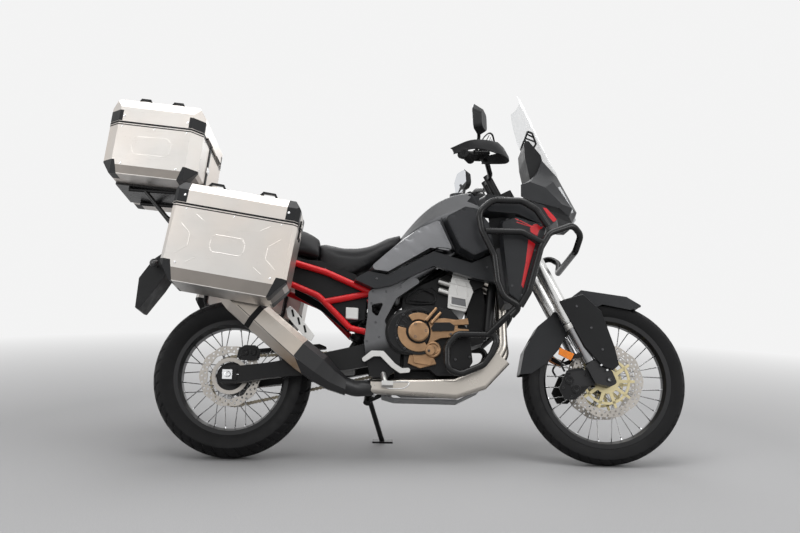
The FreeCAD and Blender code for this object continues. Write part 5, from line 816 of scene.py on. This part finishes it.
def tread_sink(angle, share, blocks):
    """How deep the tread is cut, from nought to one, at a turn and a share of the half width."""
    side = abs(share)
    if side > 0.985:
        return 0.0
    turn = angle / (2 * pi) * blocks
    shift = 0.5 if share < 0 else 0.0
    cross = abs(((turn + side * 0.9 + shift) % 1.0) - 0.5) * 2
    if side < 0.24:
        return 1.0 if cross > 0.90 and side > 0.05 else 0.0
    if side < 0.30:
        return 1.0 if abs(((turn * 2 + shift) % 1.0) - 0.5) < 0.36 else 0.0
    if 0.615 < side < 0.67:
        return 1.0 if cross < 0.86 else 0.0
    return 1.0 if cross > (0.80 if side < 0.65 else 0.76) else 0.0


def tyre(name, node, body, centre, radius, section, bead, rim_half, blocks):
    """A round-shouldered tyre whose cut tread is in the mesh, inside the plain one's outline."""
    shoulder = radians(64)
    bend = (section / 2 - 0.6) / sin(shoulder)
    crown, wall = [], []
    for i in range(TREAD_COLUMNS + 1):
        share = -1 + 2 * i / TREAD_COLUMNS
        turn = share * shoulder
        crown.append((share, bend * sin(turn) * 0.985, radius - 1.0 - bend * 0.80 * (1 - cos(turn))))
    _, last_out, last_reach = crown[-1]
    for i in range(1, WALL_ROWS + 1):
        t = i / WALL_ROWS
        belly = sin(pi * min(1.0, t * 1.25)) * 0.8 if t < 0.8 else 0.0
        rib = 1.2 if i in (3, 10) else 0.0
        wall.append((None, last_out + (rim_half + 2.0 - last_out) * t ** 1.7 + belly,
                     last_reach + (bead + 4.0 - last_reach) * t + rib))
    wall.append((None, rim_half - 6, bead + 1.0))
    section_line = [(None, -out, reach) for _, out, reach in reversed(wall)] + crown + wall
    steps = blocks * 18
    loops = []
    for i in range(steps):
        angle = 2 * pi * i / steps
        loop = []
        for share, out, reach in section_line:
            cut = 0.0 if share is None else TREAD_DEPTH * tread_sink(angle, share, blocks)
            loop.append((cos(angle) * (reach - cut), out, sin(angle) * (reach - cut)))
        loops.append(loop)
    shape = Shape(wheel_frame(centre))
    shape.rings(loops, True)
    shape.done(name, (rubber, "tyre_rubber"), body, sharp=28, replaces=(node,))


def disc(name, node, body, centre, outs, outer, inner, rows):
    """Brake discs with a waved rim and drilled holes, cut from flat sheet."""
    curve = bpy.data.curves.new(name, "CURVE")
    curve.dimensions, curve.fill_mode, curve.extrude = "2D", "BOTH", DISC_THICKNESS * 0.0005

    def ring(points):
        spline = curve.splines.new("POLY")
        spline.points.add(len(points) - 1)
        for point, (a, b) in zip(spline.points, points):
            point.co = (a * 0.001, b * 0.001, 0, 1)
        spline.use_cyclic_u = True

    turns = [2 * pi * i / (DISC_WAVES * 16) for i in range(DISC_WAVES * 16)]
    for reach, way in ((outer, -1), (inner, 1)):
        waved = [reach + way * WAVE_DEPTH * 0.5 * (1 - cos(DISC_WAVES * t)) for t in turns]
        ring([(cos(t) * r, sin(t) * r) for t, r in zip(turns, waved)])
    for count, reach, twist in rows:
        for i in range(count):
            middle = 2 * pi * (i + twist) / count
            ring([(cos(middle) * reach + HOLE_RADIUS * cos(pi * k / 6),
                   sin(middle) * reach + HOLE_RADIUS * sin(pi * k / 6))
                  for k in range(12)])
    flat = bpy.data.objects.new(name + "_cut", curve)
    bpy.context.scene.collection.objects.link(flat)
    cut = bpy.data.meshes.new_from_object(flat)
    bpy.data.objects.remove(flat)
    shape = Shape(wheel_frame(centre))
    stand = Matrix.Rotation(pi / 2, 4, "X")
    for out in outs:
        copy = cut.copy()
        copy.transform(shape.matrix @ Matrix.Translation((0, out * 0.001, 0)) @ stand)
        shape.mesh.from_mesh(copy)
    bmesh.ops.remove_doubles(shape.mesh, verts=shape.mesh.verts, dist=1e-6)
    shape.done(name, (disc_steel, "disc_steel"), body, sharp=30, replaces=(node,))


def wheel_details():
    """Tyres, discs with their carriers' rings, and the spokes' nipples."""
    tyre("front_tyre_tread", "front_tyre", "front_wheel", FRONT_AXLE, 347.7, 90.0, 266.7, 31.0, 46)
    tyre("rear_tyre_tread", "rear_tyre", "rear_wheel", REAR_AXLE, 333.4, 150.0, 228.6, 50.0, 40)
    for name, centre in (("front", FRONT_AXLE), ("rear", REAR_AXLE)):
        nipples = Shape(wheel_frame(centre))
        inverse = nipples.matrix.inverted()
        seat = max((inverse @ v.co).x for v in NODES[name + "_wheel_rim"].data.vertices) * 1000 - 24
        for i in range(SPOKES):
            turn = 2 * pi * (i + 0.5) / SPOKES
            place = Vector((cos(turn) * seat, (6 if i % 2 else -6), sin(turn) * seat))
            nipples.lathe(place, -place.normalized(), [(-4, 4.2), (3, 4.2), (8, 3.2), (14, 3.0)], 8)
        nipples.done(name + "_nipples", (steel, "rim_black"), name + "_wheel")
    disc("front_disc_sheets", "front_discs", "front_wheel", FRONT_AXLE, (64.5, -64.5), 155.0, 118.0,
         ((36, 144.0, 0.0), (36, 130.5, 0.5)))
    disc("rear_disc_sheet", "rear_disc", "rear_wheel", REAR_AXLE, (-88.5,), 128.0, 92.0,
         ((28, 117.0, 0.0), (28, 104.0, 0.5)))
    for name, centre, outs, inner, outer, look in (
            ("front_carrier_rings", FRONT_AXLE, (-64.5, 64.5), 88, 99, (gold_metal, "carrier_gold")),
            ("rear_carrier_ring", REAR_AXLE, (-88.5,), 60, 76, (disc_steel, "disc_steel"))):
        ring = Shape(wheel_frame(centre))
        for out in outs:
            ring.sector((0, 0), inner, outer, 0, 360, out - 2.5, out + 2.5, 72)
        ring.done(name, look, name.split("_")[0] + "_wheel")


# Seats and bodywork
PAD_VOXEL, PAD_SMOOTHINGS, PAD_PRESSURE, PAD_STEPS = 0.006, 7, 4.0, 15
PAD_MOVE, PAD_RISE = 0.005, 0.0035


def bake(piece):
    """Applies a piece's modifiers to its mesh."""
    bpy.context.view_layer.update()
    held = piece.evaluated_get(bpy.context.evaluated_depsgraph_get())
    solid = bpy.data.meshes.new_from_object(held)
    piece.modifiers.clear()
    piece.data = solid
    return solid


def seat_pad(name, node):
    """A padded seat: the plain shell, softened and blown up by the cloth solver within a small cap."""
    data = NODES[node].data.copy()
    data.materials.clear()
    pad = bpy.data.objects.new(name, data)
    bpy.context.scene.collection.objects.link(pad)
    weld = bmesh.new()
    weld.from_mesh(data)
    bmesh.ops.remove_doubles(weld, verts=weld.verts, dist=1e-5)
    weld.to_mesh(data)
    weld.free()
    remesh = pad.modifiers.new("remesh", "REMESH")
    remesh.mode, remesh.voxel_size = "VOXEL", PAD_VOXEL
    soften = pad.modifiers.new("soften", "SMOOTH")
    soften.factor, soften.iterations = 0.5, PAD_SMOOTHINGS
    solid = bake(pad)
    before = [v.co.copy() for v in solid.vertices]
    cloth = pad.modifiers.new("cloth", "CLOTH")
    cloth.settings.use_pressure = True
    cloth.settings.uniform_pressure_force = PAD_PRESSURE
    cloth.settings.effector_weights.gravity = 0.0
    for step in range(1, PAD_STEPS + 1):
        bpy.context.scene.frame_set(step)
    solid = bake(pad)
    bpy.context.scene.frame_set(1)
    drift = sum(((v.co - b) for v, b in zip(solid.vertices, before)), Vector()) / len(before)
    shell = surface_of(node)
    for vertex, start in zip(solid.vertices, before):
        move = vertex.co - start - drift
        if move.length > PAD_MOVE:
            move *= PAD_MOVE / move.length
        vertex.co = start + move
        place, normal, *_ = shell.find_nearest(vertex.co)
        if place is not None and (vertex.co - place).dot(normal) > PAD_RISE:
            vertex.co = place + normal * PAD_RISE
    for polygon in solid.polygons:
        polygon.use_smooth = True
    solid.materials.append(seat_skin.material)
    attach(pad, "chassis")
    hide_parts(node)


def seam(name, tree, line, radius, lift, look, side=None):
    """Piping laid on a surface: points are dropped on it from above, or from the side."""
    points, _ = smooth_line(line, 1.0, False, 8)
    direction = Vector((0, 0, -1)) if side is None else Vector((0, -side, 0))
    laid = []
    for point in points:
        place, *_ = tree.ray_cast(spot(*(point - direction * 600)), UPRIGHT.to_3x3() @ direction)
        if place is not None:
            laid.append(BACK @ place * 1000 - direction * lift)
    if len(laid) > 3:
        shape = Shape()
        shape.tube(laid, radius, 7, rounds=2)
        shape.done(name, look)


def strip(a, b, width):
    """The outline of a straight strip between two points."""
    a, b = Vector(a), Vector(b)
    side = (b - a).normalized().orthogonal() * width / 2
    return [tuple(a + side), tuple(a - side), tuple(b - side), tuple(b + side)]


def crowned_panels():
    """The gentle swell of the painted panels, laid over their flat faces."""
    blade_line = [(558, 774), (637, 762), (835, 873), (926, 862), (864, 1001), (784, 970), (709, 918),
                  (628, 842)]
    cover_line = [(876, 1002), (959, 1051), (1009, 1044), (1069, 976), (1087, 868), (1001, 828), (940, 860)]
    wing_line = [(1126, 990), (1169, 997), (1279, 966), (1294, 948), (1202, 640), (1180, 627), (1141, 656),
                 (1126, 870)]
    for side, end in SIDES:
        for name, look, node, line, step, crown, crown_width in (
                ("blade_swell_", BLADE, "side_panels", blade_line, 9, 3.5, 75.0),
                ("cover_swell_", COVER, "tank_covers", cover_line, 9, 4.0, 60.0),
                ("wing_swell_", WING, "radiator_shrouds", wing_line, 10, 5.0, 40.0)):
            drape(name + end, look, surface_of(node), [line], side, 0.4, step, crown=crown,
                  crown_width=crown_width)


def body_stripes():
    """Coloured flashes on the shrouds and the fairing above them."""
    stripes = [[(1217, 894), (1246, 877), (1223, 796), (1195, 690), (1187, 702), (1205, 796)],
               [(1224, 942), (1241, 960), (1290, 968), (1297, 955), (1263, 937), (1254, 909), (1227, 926)],
               strip((1152, 989), (1252, 941), 3.6), strip((1170, 967), (1236, 946), 3.2)]
    flash = [(1282, 1040), (1298, 1036), (1328, 1004), (1350, 974), (1332, 970), (1306, 1000)]
    tip = [(1332, 1010), (1352, 998), (1356, 978), (1350, 976)]
    red, white = (red_decal, "frame_red"), (white_decal, "body_silver")
    shroud = surface_of("radiator_shrouds")
    for side, end in SIDES:
        swell = surface_of("radiator_shrouds", "wing_swell_" + end)
        drape("shroud_stripes_" + end, red, swell, stripes, side, 0.5, 12)
        drape("shoulder_flash_" + end, red, shroud, [flash], side, 0.5, 8, 30)
        drape("shoulder_tip_" + end, white, shroud, [tip], side, 0.5, 8, 30)


def panel_gaps():
    """Dark gaps where one body panel meets the next."""
    tree = surface_of("side_panels", "tank_covers", "fuel_tank")
    for name, line in (("low", [(637, 764), (737, 821), (844, 874), (926, 864), (1001, 829), (1050, 850)]),
                       ("front", [(1026, 901), (1014, 950), (996, 1011)]),
                       ("blade", [(867, 1015), (901, 937), (935, 865)])):
        for side, end in SIDES:
            seam("gap_" + name + "_" + end, tree, [(x, 0, z) for x, z in line], 2.6, -1.3, RUBBER_TRIM, side)


def panel_bolts():
    """Screws along the bodywork, set on it from the side."""
    for node, body, places in (
            ("tank_covers", "chassis", ((600, 740), (1060, 800))),
            ("radiator_shrouds", "chassis",
             ((1135, 985), (1270, 955), (1190, 660), (1150, 700), (1245, 850))),
            ("main_frame", "chassis",
             ((585, 690), (640, 690), (700, 712), (565, 480), (615, 500), (600, 560), (580, 640))),
            ("tail_panel", "chassis", ((300, 800), (380, 790), (470, 800))),
            ("front_fender", "steering", ((1545, 640), (1560, 560), (1600, 420))),
            ("fork_guards", "steering", ((1440, 650), (1500, 560), (1545, 470)))):
        tree = surface_of(node)
        for side, end in SIDES:
            hits = [hit_from(tree, side, x, z)[0] for x, z in places]
            hits = [place for place in hits if place is not None]
            if hits:
                shape = Shape()
                for place in hits:
                    shape.bolt(BACK @ place * 1000, (0, side, 0), 5.2, 2.6)
                shape.done(node + "_screws_" + end, (dark_steel, "frame_black"), body)


def inner_panels():
    """Dark panels that close the gap between the tank covers and the shrouds."""
    outline = [(1062, 1002), (1140, 1012), (1140, 868), (1120, 800), (1078, 838), (1074, 930)]
    for side, end in SIDES:
        plate("inner_panel_" + end, PLASTIC_TRIM, outline, side * 212, side * 217, 1.5)


def seat_details():
    """Piping round both seats."""
    for seat, line in (("rider_seat", ((430, 120), (520, 128), (620, 126), (700, 100))),
                       ("pillion_seat", ((60, 128), (200, 136), (330, 130)))):
        for side, end in SIDES:
            seam(seat + "_piping_" + end, surface_of(seat), [(x, side * y, 1100) for x, y in line], 1.8, 0.4,
                 (seat_thread, "seat_cover"))


# Steering and front end
STEER_BASE = Vector((1688.0, 0.0, 0.0))
STEER_UP = Vector((-0.46175, 0.0, 0.88701))
STEER_AHEAD = Vector((0.88701, 0.0, 0.46175))
GUARD_UP = 1405.0
GUARD_STATIONS = ((-150, 475, 32, 14), (-64, 489, 16, 20), (16, 452, -22, 30), (62, 376, -40, 34),
                  (64, 298, -36, 28), (-10, 240, 8, 15))
WING_STATIONS = ((-20, 470, 18), (20, 440, 44), (52, 372, 50), (60, 306, 22), (66, 340, -14), (40, 420, -2))


def steer(up, ahead=0.0, out=0.0):
    """A point measured up the steering axis from the ground, ahead of it and out to the left."""
    return STEER_BASE + STEER_UP * up + STEER_AHEAD * ahead + Vector((0, out, 0))


def screen_mounts():
    """The screen's bracket, and the ladder-shaped adjuster on each side of it."""
    bracket, ladder = Shape(), Shape()
    rim = [(1240, 1412), (1254, 1452), (1274, 1444), (1290, 1394), (1264, 1352)]
    rungs = (((1250, 1440), (1281, 1424)), ((1245, 1420), (1286, 1404)), ((1250, 1390), (1280, 1378)))
    for side in (RIGHT, LEFT):
        bracket.prism([(1262, 1190), (1292, 1205), (1300, 1330), (1288, 1345), (1274, 1330)], side * 58,
                      side * 62)
        ladder.rods(zip(rim, rim[1:] + rim[:1]), side * 60, 4.6, 8)
        ladder.rods(rungs, side * 60, 3.6, 8)
        ladder.tube([(1264, side * 60, 1356), (1270, side * 60, 1322), (1278, side * 60, 1292)], 6.0, 8)
    bracket.tube([(1290, -62, 1300), (1296, 0, 1304), (1290, 62, 1300)], 5.0, 8)
    bracket.done("screen_bracket", FORK_SILVER, bevel=1.0)
    ladder.done("screen_adjuster", PLASTIC_TRIM)


def mirror_glasses():
    cut_skin("mirror_glasses", (mirror_glass, "screen_clear"), "mirrors", [[]], (0, 0, 0), 0.8, 0.6,
             body="steering", facing=(-1, 0, 0))


def fork_details():
    """Reflectors, axle ends, collars where the sliders leave the tubes, and the calipers' outer bodies."""
    for side, end in SIDES:
        plate("reflector_" + end, (lens_orange, "lamp_red"),
              [(1363, 449), (1369, 477), (1430, 452), (1415, 423)], side * 118, side * 125, 1.5, "steering")
        plate("reflector_holder_" + end, PLASTIC_CAST,
              [(1372, 455), (1376, 468), (1430, 450), (1478, 470), (1484, 446), (1420, 430)],
              side * 112, side * 118, 0.8, "steering")
        axle = Shape()
        axle.lathe((1575, side * 106, 347.7), (0, side, 0), [(0, 15), (6, 15), (7, 13.5), (7, 9.2), (2, 9)])
        for x, z in ((1538, 405), (1562, 385)):
            axle.bolt((x, side * 140, z), (0, side, 0), 5.0, 3.0)
        axle.done("axle_end_" + end, FORK_STEEL, "steering")
        collar = Shape()
        collar.lathe(steer(634, 30, side * 105), STEER_UP,
                     [(-14, 28.6), (-14, 31.2), (8, 31.2), (11, 29.8), (12, 28.6)], 32)
        collar.done("fork_collar_" + end, FORK_SILVER, "steering")
        face = side * 99
        caliper = Shape()
        caliper.prism([(1368, 309), (1402, 385), (1452, 398), (1500, 380), (1506, 330), (1437, 264),
                       (1391, 264)], side * 90, face)
        for x, z in ((1412, 345), (1440, 308)):
            caliper.lathe((x, face, z), (0, side, 0), [(-2, 19), (4, 19), (5.5, 17.5), (5.5, 9), (3, 8)])
        for x, z in ((1385, 312), (1410, 378), (1480, 368), (1420, 276)):
            caliper.bolt((x, face, z), (0, side, 0), 6.5, 4.5)
        caliper.tube([(1392, face + side * 2, 380), (1378, face + side * 8, 410),
                      (1392, face + side * 4, 436)], 4.5, 8)
        caliper.done("front_caliper_body_" + end, CAST_BLACK, "steering", 1.6)


def hand_guards():
    """A narrow shell round each grip, under an open wing frame with a mesh."""
    for side, end in SIDES:
        path = [steer(GUARD_UP + up, ahead, side * out) for ahead, out, up, _ in GUARD_STATIONS]
        points, halves = smooth_line(path, [half for *_, half in GUARD_STATIONS], False, 6)
        inward, swell = STEER_AHEAD * -4 - Vector((0, side * 4, 0)), STEER_AHEAD * 5
        loops = []
        for point, half in zip(points, halves):
            rise = STEER_UP * half
            outside = [point - rise, point - rise * 0.55 + swell, point + rise * 0.55 + swell, point + rise]
            loops.append(outside + [p + inward for p in reversed(outside)])
        guard, wing = Shape(), Shape()
        guard.rings(loops)
        guard.done("hand_guard_" + end, PLASTIC_TRIM, "steering", 0.8, 40, ("hand_guards",))
        rim = [steer(GUARD_UP + up, ahead, side * out) for ahead, out, up in WING_STATIONS]
        wing.tube(rim, 4.2, 8, True, 4, flat=0.6)
        for k in range(5):
            share = (k + 0.8) / 5.6
            wing.tube([rim[1].lerp(rim[3], share), rim[0].lerp(rim[4], share)], 1.6, 6, rounds=1)
        wing.done("hand_guard_wing_" + end, PLASTIC_TRIM, "steering", sharp=40)


def bar_ends():
    """Weights at the ends of the bar, and ribs round the grips."""
    points = [BACK @ v.co * 1000 for v in NODES["hand_controls"].data.vertices]
    for side, end in SIDES:
        tip = max(p.y * side for p in points)
        rim = [p for p in points if p.y * side > tip - 3]
        grip = [p for p in points if tip - 60 < p.y * side < tip - 20]
        centre = sum(rim, Vector()) / len(rim)
        inner = sum(grip, Vector()) / len(grip) if grip else centre - Vector((0, side * 40, 0))
        axis = (centre - inner).normalized()
        shape = Shape()
        shape.lathe(centre - axis * 9, axis, [(-1, 14), (0, 18.5), (6, 19), (8, 17), (8, 9), (6, 8)], 28)
        rib = [(-2.2, 16.5), (-1.4, 18.6), (1.4, 18.6), (2.2, 16.5)]
        for k in range(9):
            shape.lathe(centre - axis * (22 + 11 * k), axis, rib)
        shape.done("grip_end_" + end, RUBBER_TRIM, "steering")


# Engine, exhaust and rear end
def exhaust_details():
    """The silencer's fold, strap and slotted hanger, the collector's raised loop and the pipe's clamp."""
    fold, loop, clamp, slots = Shape(), Shape(), Shape(), Shape()
    fold.rods((((40, 602), (168, 491)), ((168, 491), (292, 384))), -257, 1.5)
    fold.done("silencer_fold", DARK_FOLD)
    loop.tube([(648, -149.5, 311), (738, -150.5, 317), (722, -149.5, 292), (656, -149, 290)], 2.4, 8, True, 4)
    loop.done("collector_loop", BRIGHT_LOOP)
    clamp.tube([(600, -78, 331), (600, -112, 318), (600, -146, 300), (600, -112, 258)], 3.0, 8, True, 4)
    clamp.done("pipe_clamp", BRIGHT_LOOP)
    strap = [((128, 0, 602), (-0.7716, 0, 0.6361)), ((146, 0, 587), (0.7716, 0, -0.6361))]
    cut_skin("silencer_strap", RUBBER_TRIM, "muffler", [strap], (140, -169, 540), 2.4, 1.6)
    plate("silencer_plate", FORK_SILVER,
          [(231, 600), (247, 612), (272, 592), (352, 492), (340, 470), (318, 478), (240, 566)],
          -205, -209, 0.6)
    for x, z in ((258, 580), (284, 548), (310, 516)):
        slots.prism([(x - 6, z + 16), (x + 2, z + 18), (x + 10, z - 12), (x + 2, z - 14)], -204, -210)
    slots.done("silencer_plate_slots", RUBBER_TRIM)


def engine_details():
    """Castings, screws and covers on the engine's right side, and screws on its left."""
    hub = (777, 523)
    warm, dark, pale, screws = Shape(), Shape(), Shape(), Shape()
    warm.sector(hub, 52, 86, 168, 300, -183, -191)
    warm.sector(hub, 48, 76, 58, 124, -183, -194)
    warm.tube([(806, -190, 566), (850, -184, 622)], [8, 6.5])
    warm.tube([(828, -188, 556), (868, -182, 604)], [8, 6.5])
    warm.prism([(735, 392), (741, 428), (838, 426), (852, 391), (786, 372)], -150, -168)
    warm.prism([(884, 566), (980, 582), (984, 556), (884, 548)], -168, -182)
    warm.prism([(905, 540), (984, 536), (984, 512), (900, 512)], -168, -181)
    warm.lathe((837, -150, 449), (0, -1, 0), [(0, 34), (30, 34), (36, 31), (36, 24), (32, 22)], 28)
    warm.done("engine_bronze_castings", (bronze, "cover_bronze"), bevel=1.6)
    dark.prism([(828, 536), (842, 560), (905, 562), (926, 548), (922, 528), (835, 524)], -168, -189)
    for k in range(8):
        turn = radians(96 + 17 * k)
        dark.tube([(hub[0] + cos(turn) * 62, -186, hub[1] + sin(turn) * 62),
                   (hub[0] + cos(turn) * 99, -180, hub[1] + sin(turn) * 99)], 3.2, 6, rounds=1)
    dark.sector(hub, 88, 98, 60, 315, -180, -188, 30)
    ring_line = [(726, 657), (737, 690), (761, 705), (784, 721), (836, 701), (848, 686), (838, 657)]
    dark.tube([(x, -94, z) for x, z in ring_line], 4.0, 6, True, 2)
    dark.rods([((738, 668), (828, 664))], -94, 3.0)
    dark.done("engine_black_castings", ENGINE_CAST, bevel=1.0)
    window = [(913, 685), (977, 674), (981, 636), (912, 648)]
    for a, b in zip(window, window[1:] + window[:1]):
        pale.prism(strip(a, b, 7), -121, -130)
    for a, b in (((906, 742), (1002, 722)), ((936, 748), (941, 692)), ((976, 740), (984, 684)),
                 ((920, 764), (992, 752))):
        pale.prism(strip(a, b, 4.5), -121, -128)
    pale.done("cylinder_ribs", (cast_silver, "cylinder_silver"), bevel=0.7)
    plate("cylinder_window", (cast_grey, "cylinder_silver"), [(917, 681), (974, 671), (977, 640), (915, 651)],
          -121, -125.6)
    tree = surface_of("engine", "engine_covers", "cylinder_block")
    for (x, z), reach, count, twist in ((hub, 92, 11, 0.1), ((950, 470), 60, 6, 0.2)):
        for i in range(count):
            turn = 2 * pi * (i + twist) / count
            for side in (RIGHT, LEFT):
                place, normal = hit_from(tree, side, x + cos(turn) * reach, z + sin(turn) * reach)
                if place is not None and normal.dot(LATERAL * side) > 0.85:
                    screws.bolt(BACK @ place * 1000, (0, side, 0), 5.5, 7.0)
    for turn in (118, 0, 242):
        place = (hub[0] + cos(radians(turn)) * 30, -204, hub[1] + sin(radians(turn)) * 30)
        screws.lathe(place, (0, -1, 0), [(-2, 6), (1.6, 6), (1.8, 4), (0.4, 3.6)], 6)
    screws.done("engine_screws", (dark_steel, "engine_black"))


def rear_details():
    """The relay box, the axle's plate and nut, and the rear caliper's casting with its pistons and screws."""
    plate("relay_box", (relay_white, "trim_black"), [(474, 576), (526, 574), (526, 622), (474, 624)],
          -124, -146, 3.0)
    axle, caliper = Shape(), Shape()
    axle.prism([(-22, 313), (18, 313), (18, 353), (-22, 353)], -150, -157)
    axle.lathe((-1, -150, 333), (0, -1, 0), [(0, 13), (13, 13), (14, 11), (14, 7), (8, 6.6)], 6)
    axle.tube([(18, -146, 334), (44, -146, 334)], 3.0, 8)
    axle.done("axle_plate", FORK_STEEL, bevel=0.8)
    caliper.prism([(28, 410), (34, 442), (58, 460), (102, 460), (124, 440), (122, 408), (96, 398), (48, 398)],
                  -106, -119)
    for x in (60, 94):
        caliper.lathe((x, -119, 430), (0, -1, 0), [(-2, 15), (4, 15), (5, 13.5), (5, 8), (3, 7)])
    for x, z in ((40, 412), (112, 412), (110, 450)):
        caliper.bolt((x, -119, z), (0, -1, 0), 5.5, 4.0)
    caliper.done("rear_caliper_body", CAST_BLACK, bevel=1.6)


# Stage
FLOOR_COLOUR, FLOOR_REACH, BACKDROP, WORLD_STRENGTH = (0.40, 0.40, 0.405, 1), 16.0, 0.90, 0.42
LAMPS = (("above", (0.0, -0.3, 3.4), 0.6, 3.2, 95), ("ahead", (3.6, -2.6, 2.4), 0.7, 2.0, 45),
         ("behind", (-3.2, -3.0, 2.2), 0.7, 2.0, 40), ("far", (0.5, 3.6, 2.6), 0.7, 2.4, 45))


def make_floor():
    """A plain pale floor that fades into the backdrop."""
    floor_mesh = bpy.data.meshes.new("floor")
    corners = [(x * FLOOR_REACH, y * FLOOR_REACH, 0) for x, y in ((-1, -1), (1, -1), (1, 1), (-1, 1))]
    floor_mesh.from_pydata(corners, [], [(0, 1, 2, 3)])
    floor = bpy.data.objects.new("floor", floor_mesh)
    bpy.context.scene.collection.objects.link(floor)
    tree = Tree("floor")
    tree.paint(tree.clouds(260.0, 2.0, None, shade(FLOOR_COLOUR, 0.85), shade(FLOOR_COLOUR, 1.1)), None, 0.95)
    away = tree.vector("LENGTH", tree.coordinates())
    rays = tree.node("LightPath", {}).outputs
    mirrored = tree.maths("MAXIMUM", rays["Is Glossy Ray"], rays["Is Transmission Ray"])
    seen = tree.maths("MAXIMUM", rays["Is Camera Ray"], mirrored)
    share = tree.times(tree.spread(away, 1.9, 5.2), seen)
    glow = tree.node("Emission", {"Color": (BACKDROP, BACKDROP, BACKDROP, 1)})
    blend = tree.node("MixShader", {0: share, 1: tree.shader.outputs[0], 2: glow.outputs[0]})
    output = [node for node in tree.nodes if node.type == "OUTPUT_MATERIAL"][0]
    tree.put(output.inputs["Surface"], blend.outputs[0])
    floor_mesh.materials.append(tree.material)


def make_light():
    """A backdrop that looks brighter than the light it gives, and soft lamps above and on both sides."""
    world = bpy.data.worlds.new("world")
    bpy.context.scene.world = world
    world.use_nodes = True
    nodes = world.node_tree.nodes
    background = nodes["Background"]
    path, seen, mirrored, strength = [nodes.new("ShaderNode" + kind)
                                      for kind in ("LightPath", "Math", "Math", "MapRange")]
    seen.operation = mirrored.operation = "MAXIMUM"
    rays = path.outputs
    for source, target in (
            (rays["Is Camera Ray"], seen.inputs[0]), (rays["Is Transmission Ray"], mirrored.inputs[0]),
            (rays["Is Glossy Ray"], mirrored.inputs[1]), (mirrored.outputs[0], seen.inputs[1]),
            (seen.outputs[0], strength.inputs[0]), (strength.outputs[0], background.inputs["Strength"])):
        world.node_tree.links.new(source, target)
    strength.inputs[3].default_value, strength.inputs[4].default_value = WORLD_STRENGTH, BACKDROP
    background.inputs["Color"].default_value = (1, 1, 1, 1)
    for name, place, target_height, size, power in LAMPS:
        data = bpy.data.lights.new(name, "AREA")
        data.size, data.energy = size, power
        lamp = bpy.data.objects.new(name, data)
        bpy.context.scene.collection.objects.link(lamp)
        lamp.location = place
        ahead = Vector((0, 0, target_height)) - Vector(place)
        lamp.rotation_euler = ahead.to_track_quat("-Z", "Y").to_euler()


bpy.context.scene.view_settings.view_transform = "Standard"
make_camera()
make_floor()
make_light()
paint_nodes()
for case in CASES:
    case_details(case)
wheel_details()
seat_pad("rider_seat_pad", "rider_seat")
seat_pad("pillion_seat_pad", "pillion_seat")
crowned_panels()
body_stripes()
panel_gaps()
panel_bolts()
inner_panels()
seat_details()
screen_mounts()
mirror_glasses()
fork_details()
hand_guards()
bar_ends()
exhaust_details()
engine_details()
rear_details()
